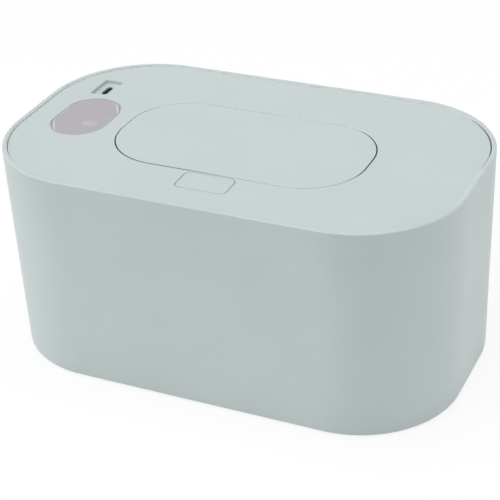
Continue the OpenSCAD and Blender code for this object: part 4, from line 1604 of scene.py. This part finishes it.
class Lamp(Enum):
    """The studio's round area lamps: where each stands, its size in metres and power."""

    TOP = ((0.0, 0.1, 1.5), 1.4, 15.5)
    TOP_FRONT = ((-0.2, -0.9, 1.4), 1.2, 3.1)
    LEFT = ((-1.5, -0.3, 0.6), 1.2, 5.0)
    RIGHT_LOW = ((1.6, 0.5, 0.25), 0.7, 7.7)


class Glow(Enum):
    """Soft bright places in the sky: azimuth from +X, elevation, sharpness, strength."""

    FRONT_LEFT = (225.0, 15.0, 4.0, 1.58)
    FRONT_RIGHT = (315.0, 15.0, 4.0, 0.62)


@dataclass
class Studio:
    """White floor, soft lamps, a soft sky, and the camera at the photograph's place."""

    azimuth: float = 25.7094
    elevation: float = 30.6801
    roll: float = -2.9029
    spot: Triple = (0.2966, -0.6173, 0.4557)
    lens: float = 111.73
    shift_y: float = 0.0011
    aim: Triple = (0.0, 0.0, 0.06)
    floor_half: float = 6.0
    paper: Pair = (0.92, 0.95)
    veil: float = 0.82
    white: float = 1.03

    @staticmethod
    def matrix(right: Array, up: Array, back: Array, place: Triple) -> Matrix:
        """Puts three axes and a place into Blender's matrix.

        Args:
            right: The first axis.
            up: The second axis.
            back: The third axis, away from what is looked at or lit.
            place: The place, in metres.

        Returns:
            The matrix.
        """
        values = np.eye(4)
        values[:3, :3] = beside(right, up, back)
        values[:3, 3] = place
        return Matrix(values.tolist())

    def camera(self) -> None:
        """Places the camera: its axes come from azimuth, elevation and roll."""
        a, e, r = (math.radians(v) for v in (self.azimuth, self.elevation, self.roll))
        back = np.array([math.sin(a) * math.cos(e), -math.cos(a) * math.cos(e), math.sin(e)])
        right = np.cross(-back, [0.0, 0.0, 1.0])
        right /= np.linalg.norm(right)
        up = np.cross(right, -back)
        data = bpy.data.cameras.new("camera")
        data.lens = self.lens
        data.sensor_width = 36.0
        data.shift_y = self.shift_y
        data.clip_start, data.clip_end = 0.05, 20.0
        camera = shown("camera", data)
        turned = math.cos(r) * right + math.sin(r) * up
        tilted = math.cos(r) * up - math.sin(r) * right
        camera.matrix_world = self.matrix(turned, tilted, back, self.spot)
        bpy.context.scene.camera = camera

    def lights(self) -> None:
        """Adds the area lamps, each turned towards the object."""
        for lamp in Lamp:
            place, size, power = lamp.value
            data = bpy.data.lights.new("lamp_" + lamp.name.lower(), "AREA")
            data.shape = "DISK"
            data.size = size
            data.energy = power
            light = shown(data.name, data)
            back = np.array(place) - np.array(self.aim)
            back /= np.linalg.norm(back)
            right = np.cross([0.0, 1.0, 0.001], back)
            right /= np.linalg.norm(right)
            light.matrix_world = self.matrix(right, np.cross(back, right), back, place)

    def world(self) -> None:
        """Makes the sky: white to the eye and in reflections, soft glows for the light.

        Each glow adds strength times the sharpness power of the cosine between the
        ray and the middle of the glow, and nothing behind it.
        """
        g = Graph(bpy.data.worlds.new("sky"))
        ray = g.add("TexCoord").outputs["Generated"]
        glows: list[Socket] = []
        for glow in Glow:
            azimuth, elevation, sharpness, strength = glow.value
            a, e = math.radians(azimuth), math.radians(elevation)
            dot = g.add("VectorMath", {"operation": "DOT_PRODUCT"})
            g.put(dot.inputs[0], ray)
            g.put(dot.inputs[1], (math.cos(a) * math.cos(e), math.sin(a) * math.cos(e), math.sin(e)))
            ahead = g.math("MAXIMUM", dot.outputs["Value"], 0.0)
            glows.append(g.math("MULTIPLY", g.math("POWER", ahead, sharpness), strength))
        level = g.remap(g.seen(), (0.0, 1.0), (g.math("ADD", *glows), 1.0))
        bpy.context.scene.world = g.shaded(g.add("Background", Strength=level), "World")

    def floor(self) -> None:
        """Lays a large white floor that keeps part of the object's shadow."""
        h = self.floor_half
        mesh = bpy.data.meshes.new("floor")
        mesh.from_pydata([(-h, -h, 0), (h, -h, 0), (h, h, 0), (-h, h, 0)], [], [(0, 1, 2, 3)])
        floor = shown("floor", mesh)
        g = Graph.of("floor_paper")
        fibre = g.remap(g.noise(2, 3.0), (0.3, 0.7), self.paper)
        grey = g.add("CombineColor", Red=fibre, Green=fibre, Blue=fibre).outputs["Color"]
        mix = g.add("MixShader", Fac=g.math("MULTIPLY", g.seen(), self.veil))
        g.put(mix.inputs[1], g.add("BsdfDiffuse", Color=grey).outputs[0])
        g.put(mix.inputs[2], g.add("Emission", Strength=self.white).outputs[0])
        floor.data.materials.append(g.shaded(mix))

    def build(self) -> None:
        """Sets the whole stage."""
        bpy.context.scene.view_settings.view_transform = "Standard"
        self.camera()
        self.lights()
        self.world()
        self.floor()


def main() -> None:
    """Builds the stage and every sub-assembly in order."""
    logging.basicConfig(level=logging.INFO, format="%(message)s")
    Studio().build()
    for part in (Tub, LidShell, Heater, Display, ControlBoard, HingeAndLatch, Flap, ReleaseButton):
        part().build()
        LOG.info("built %s", part.__name__)


if __name__ == "__main__":
    main()
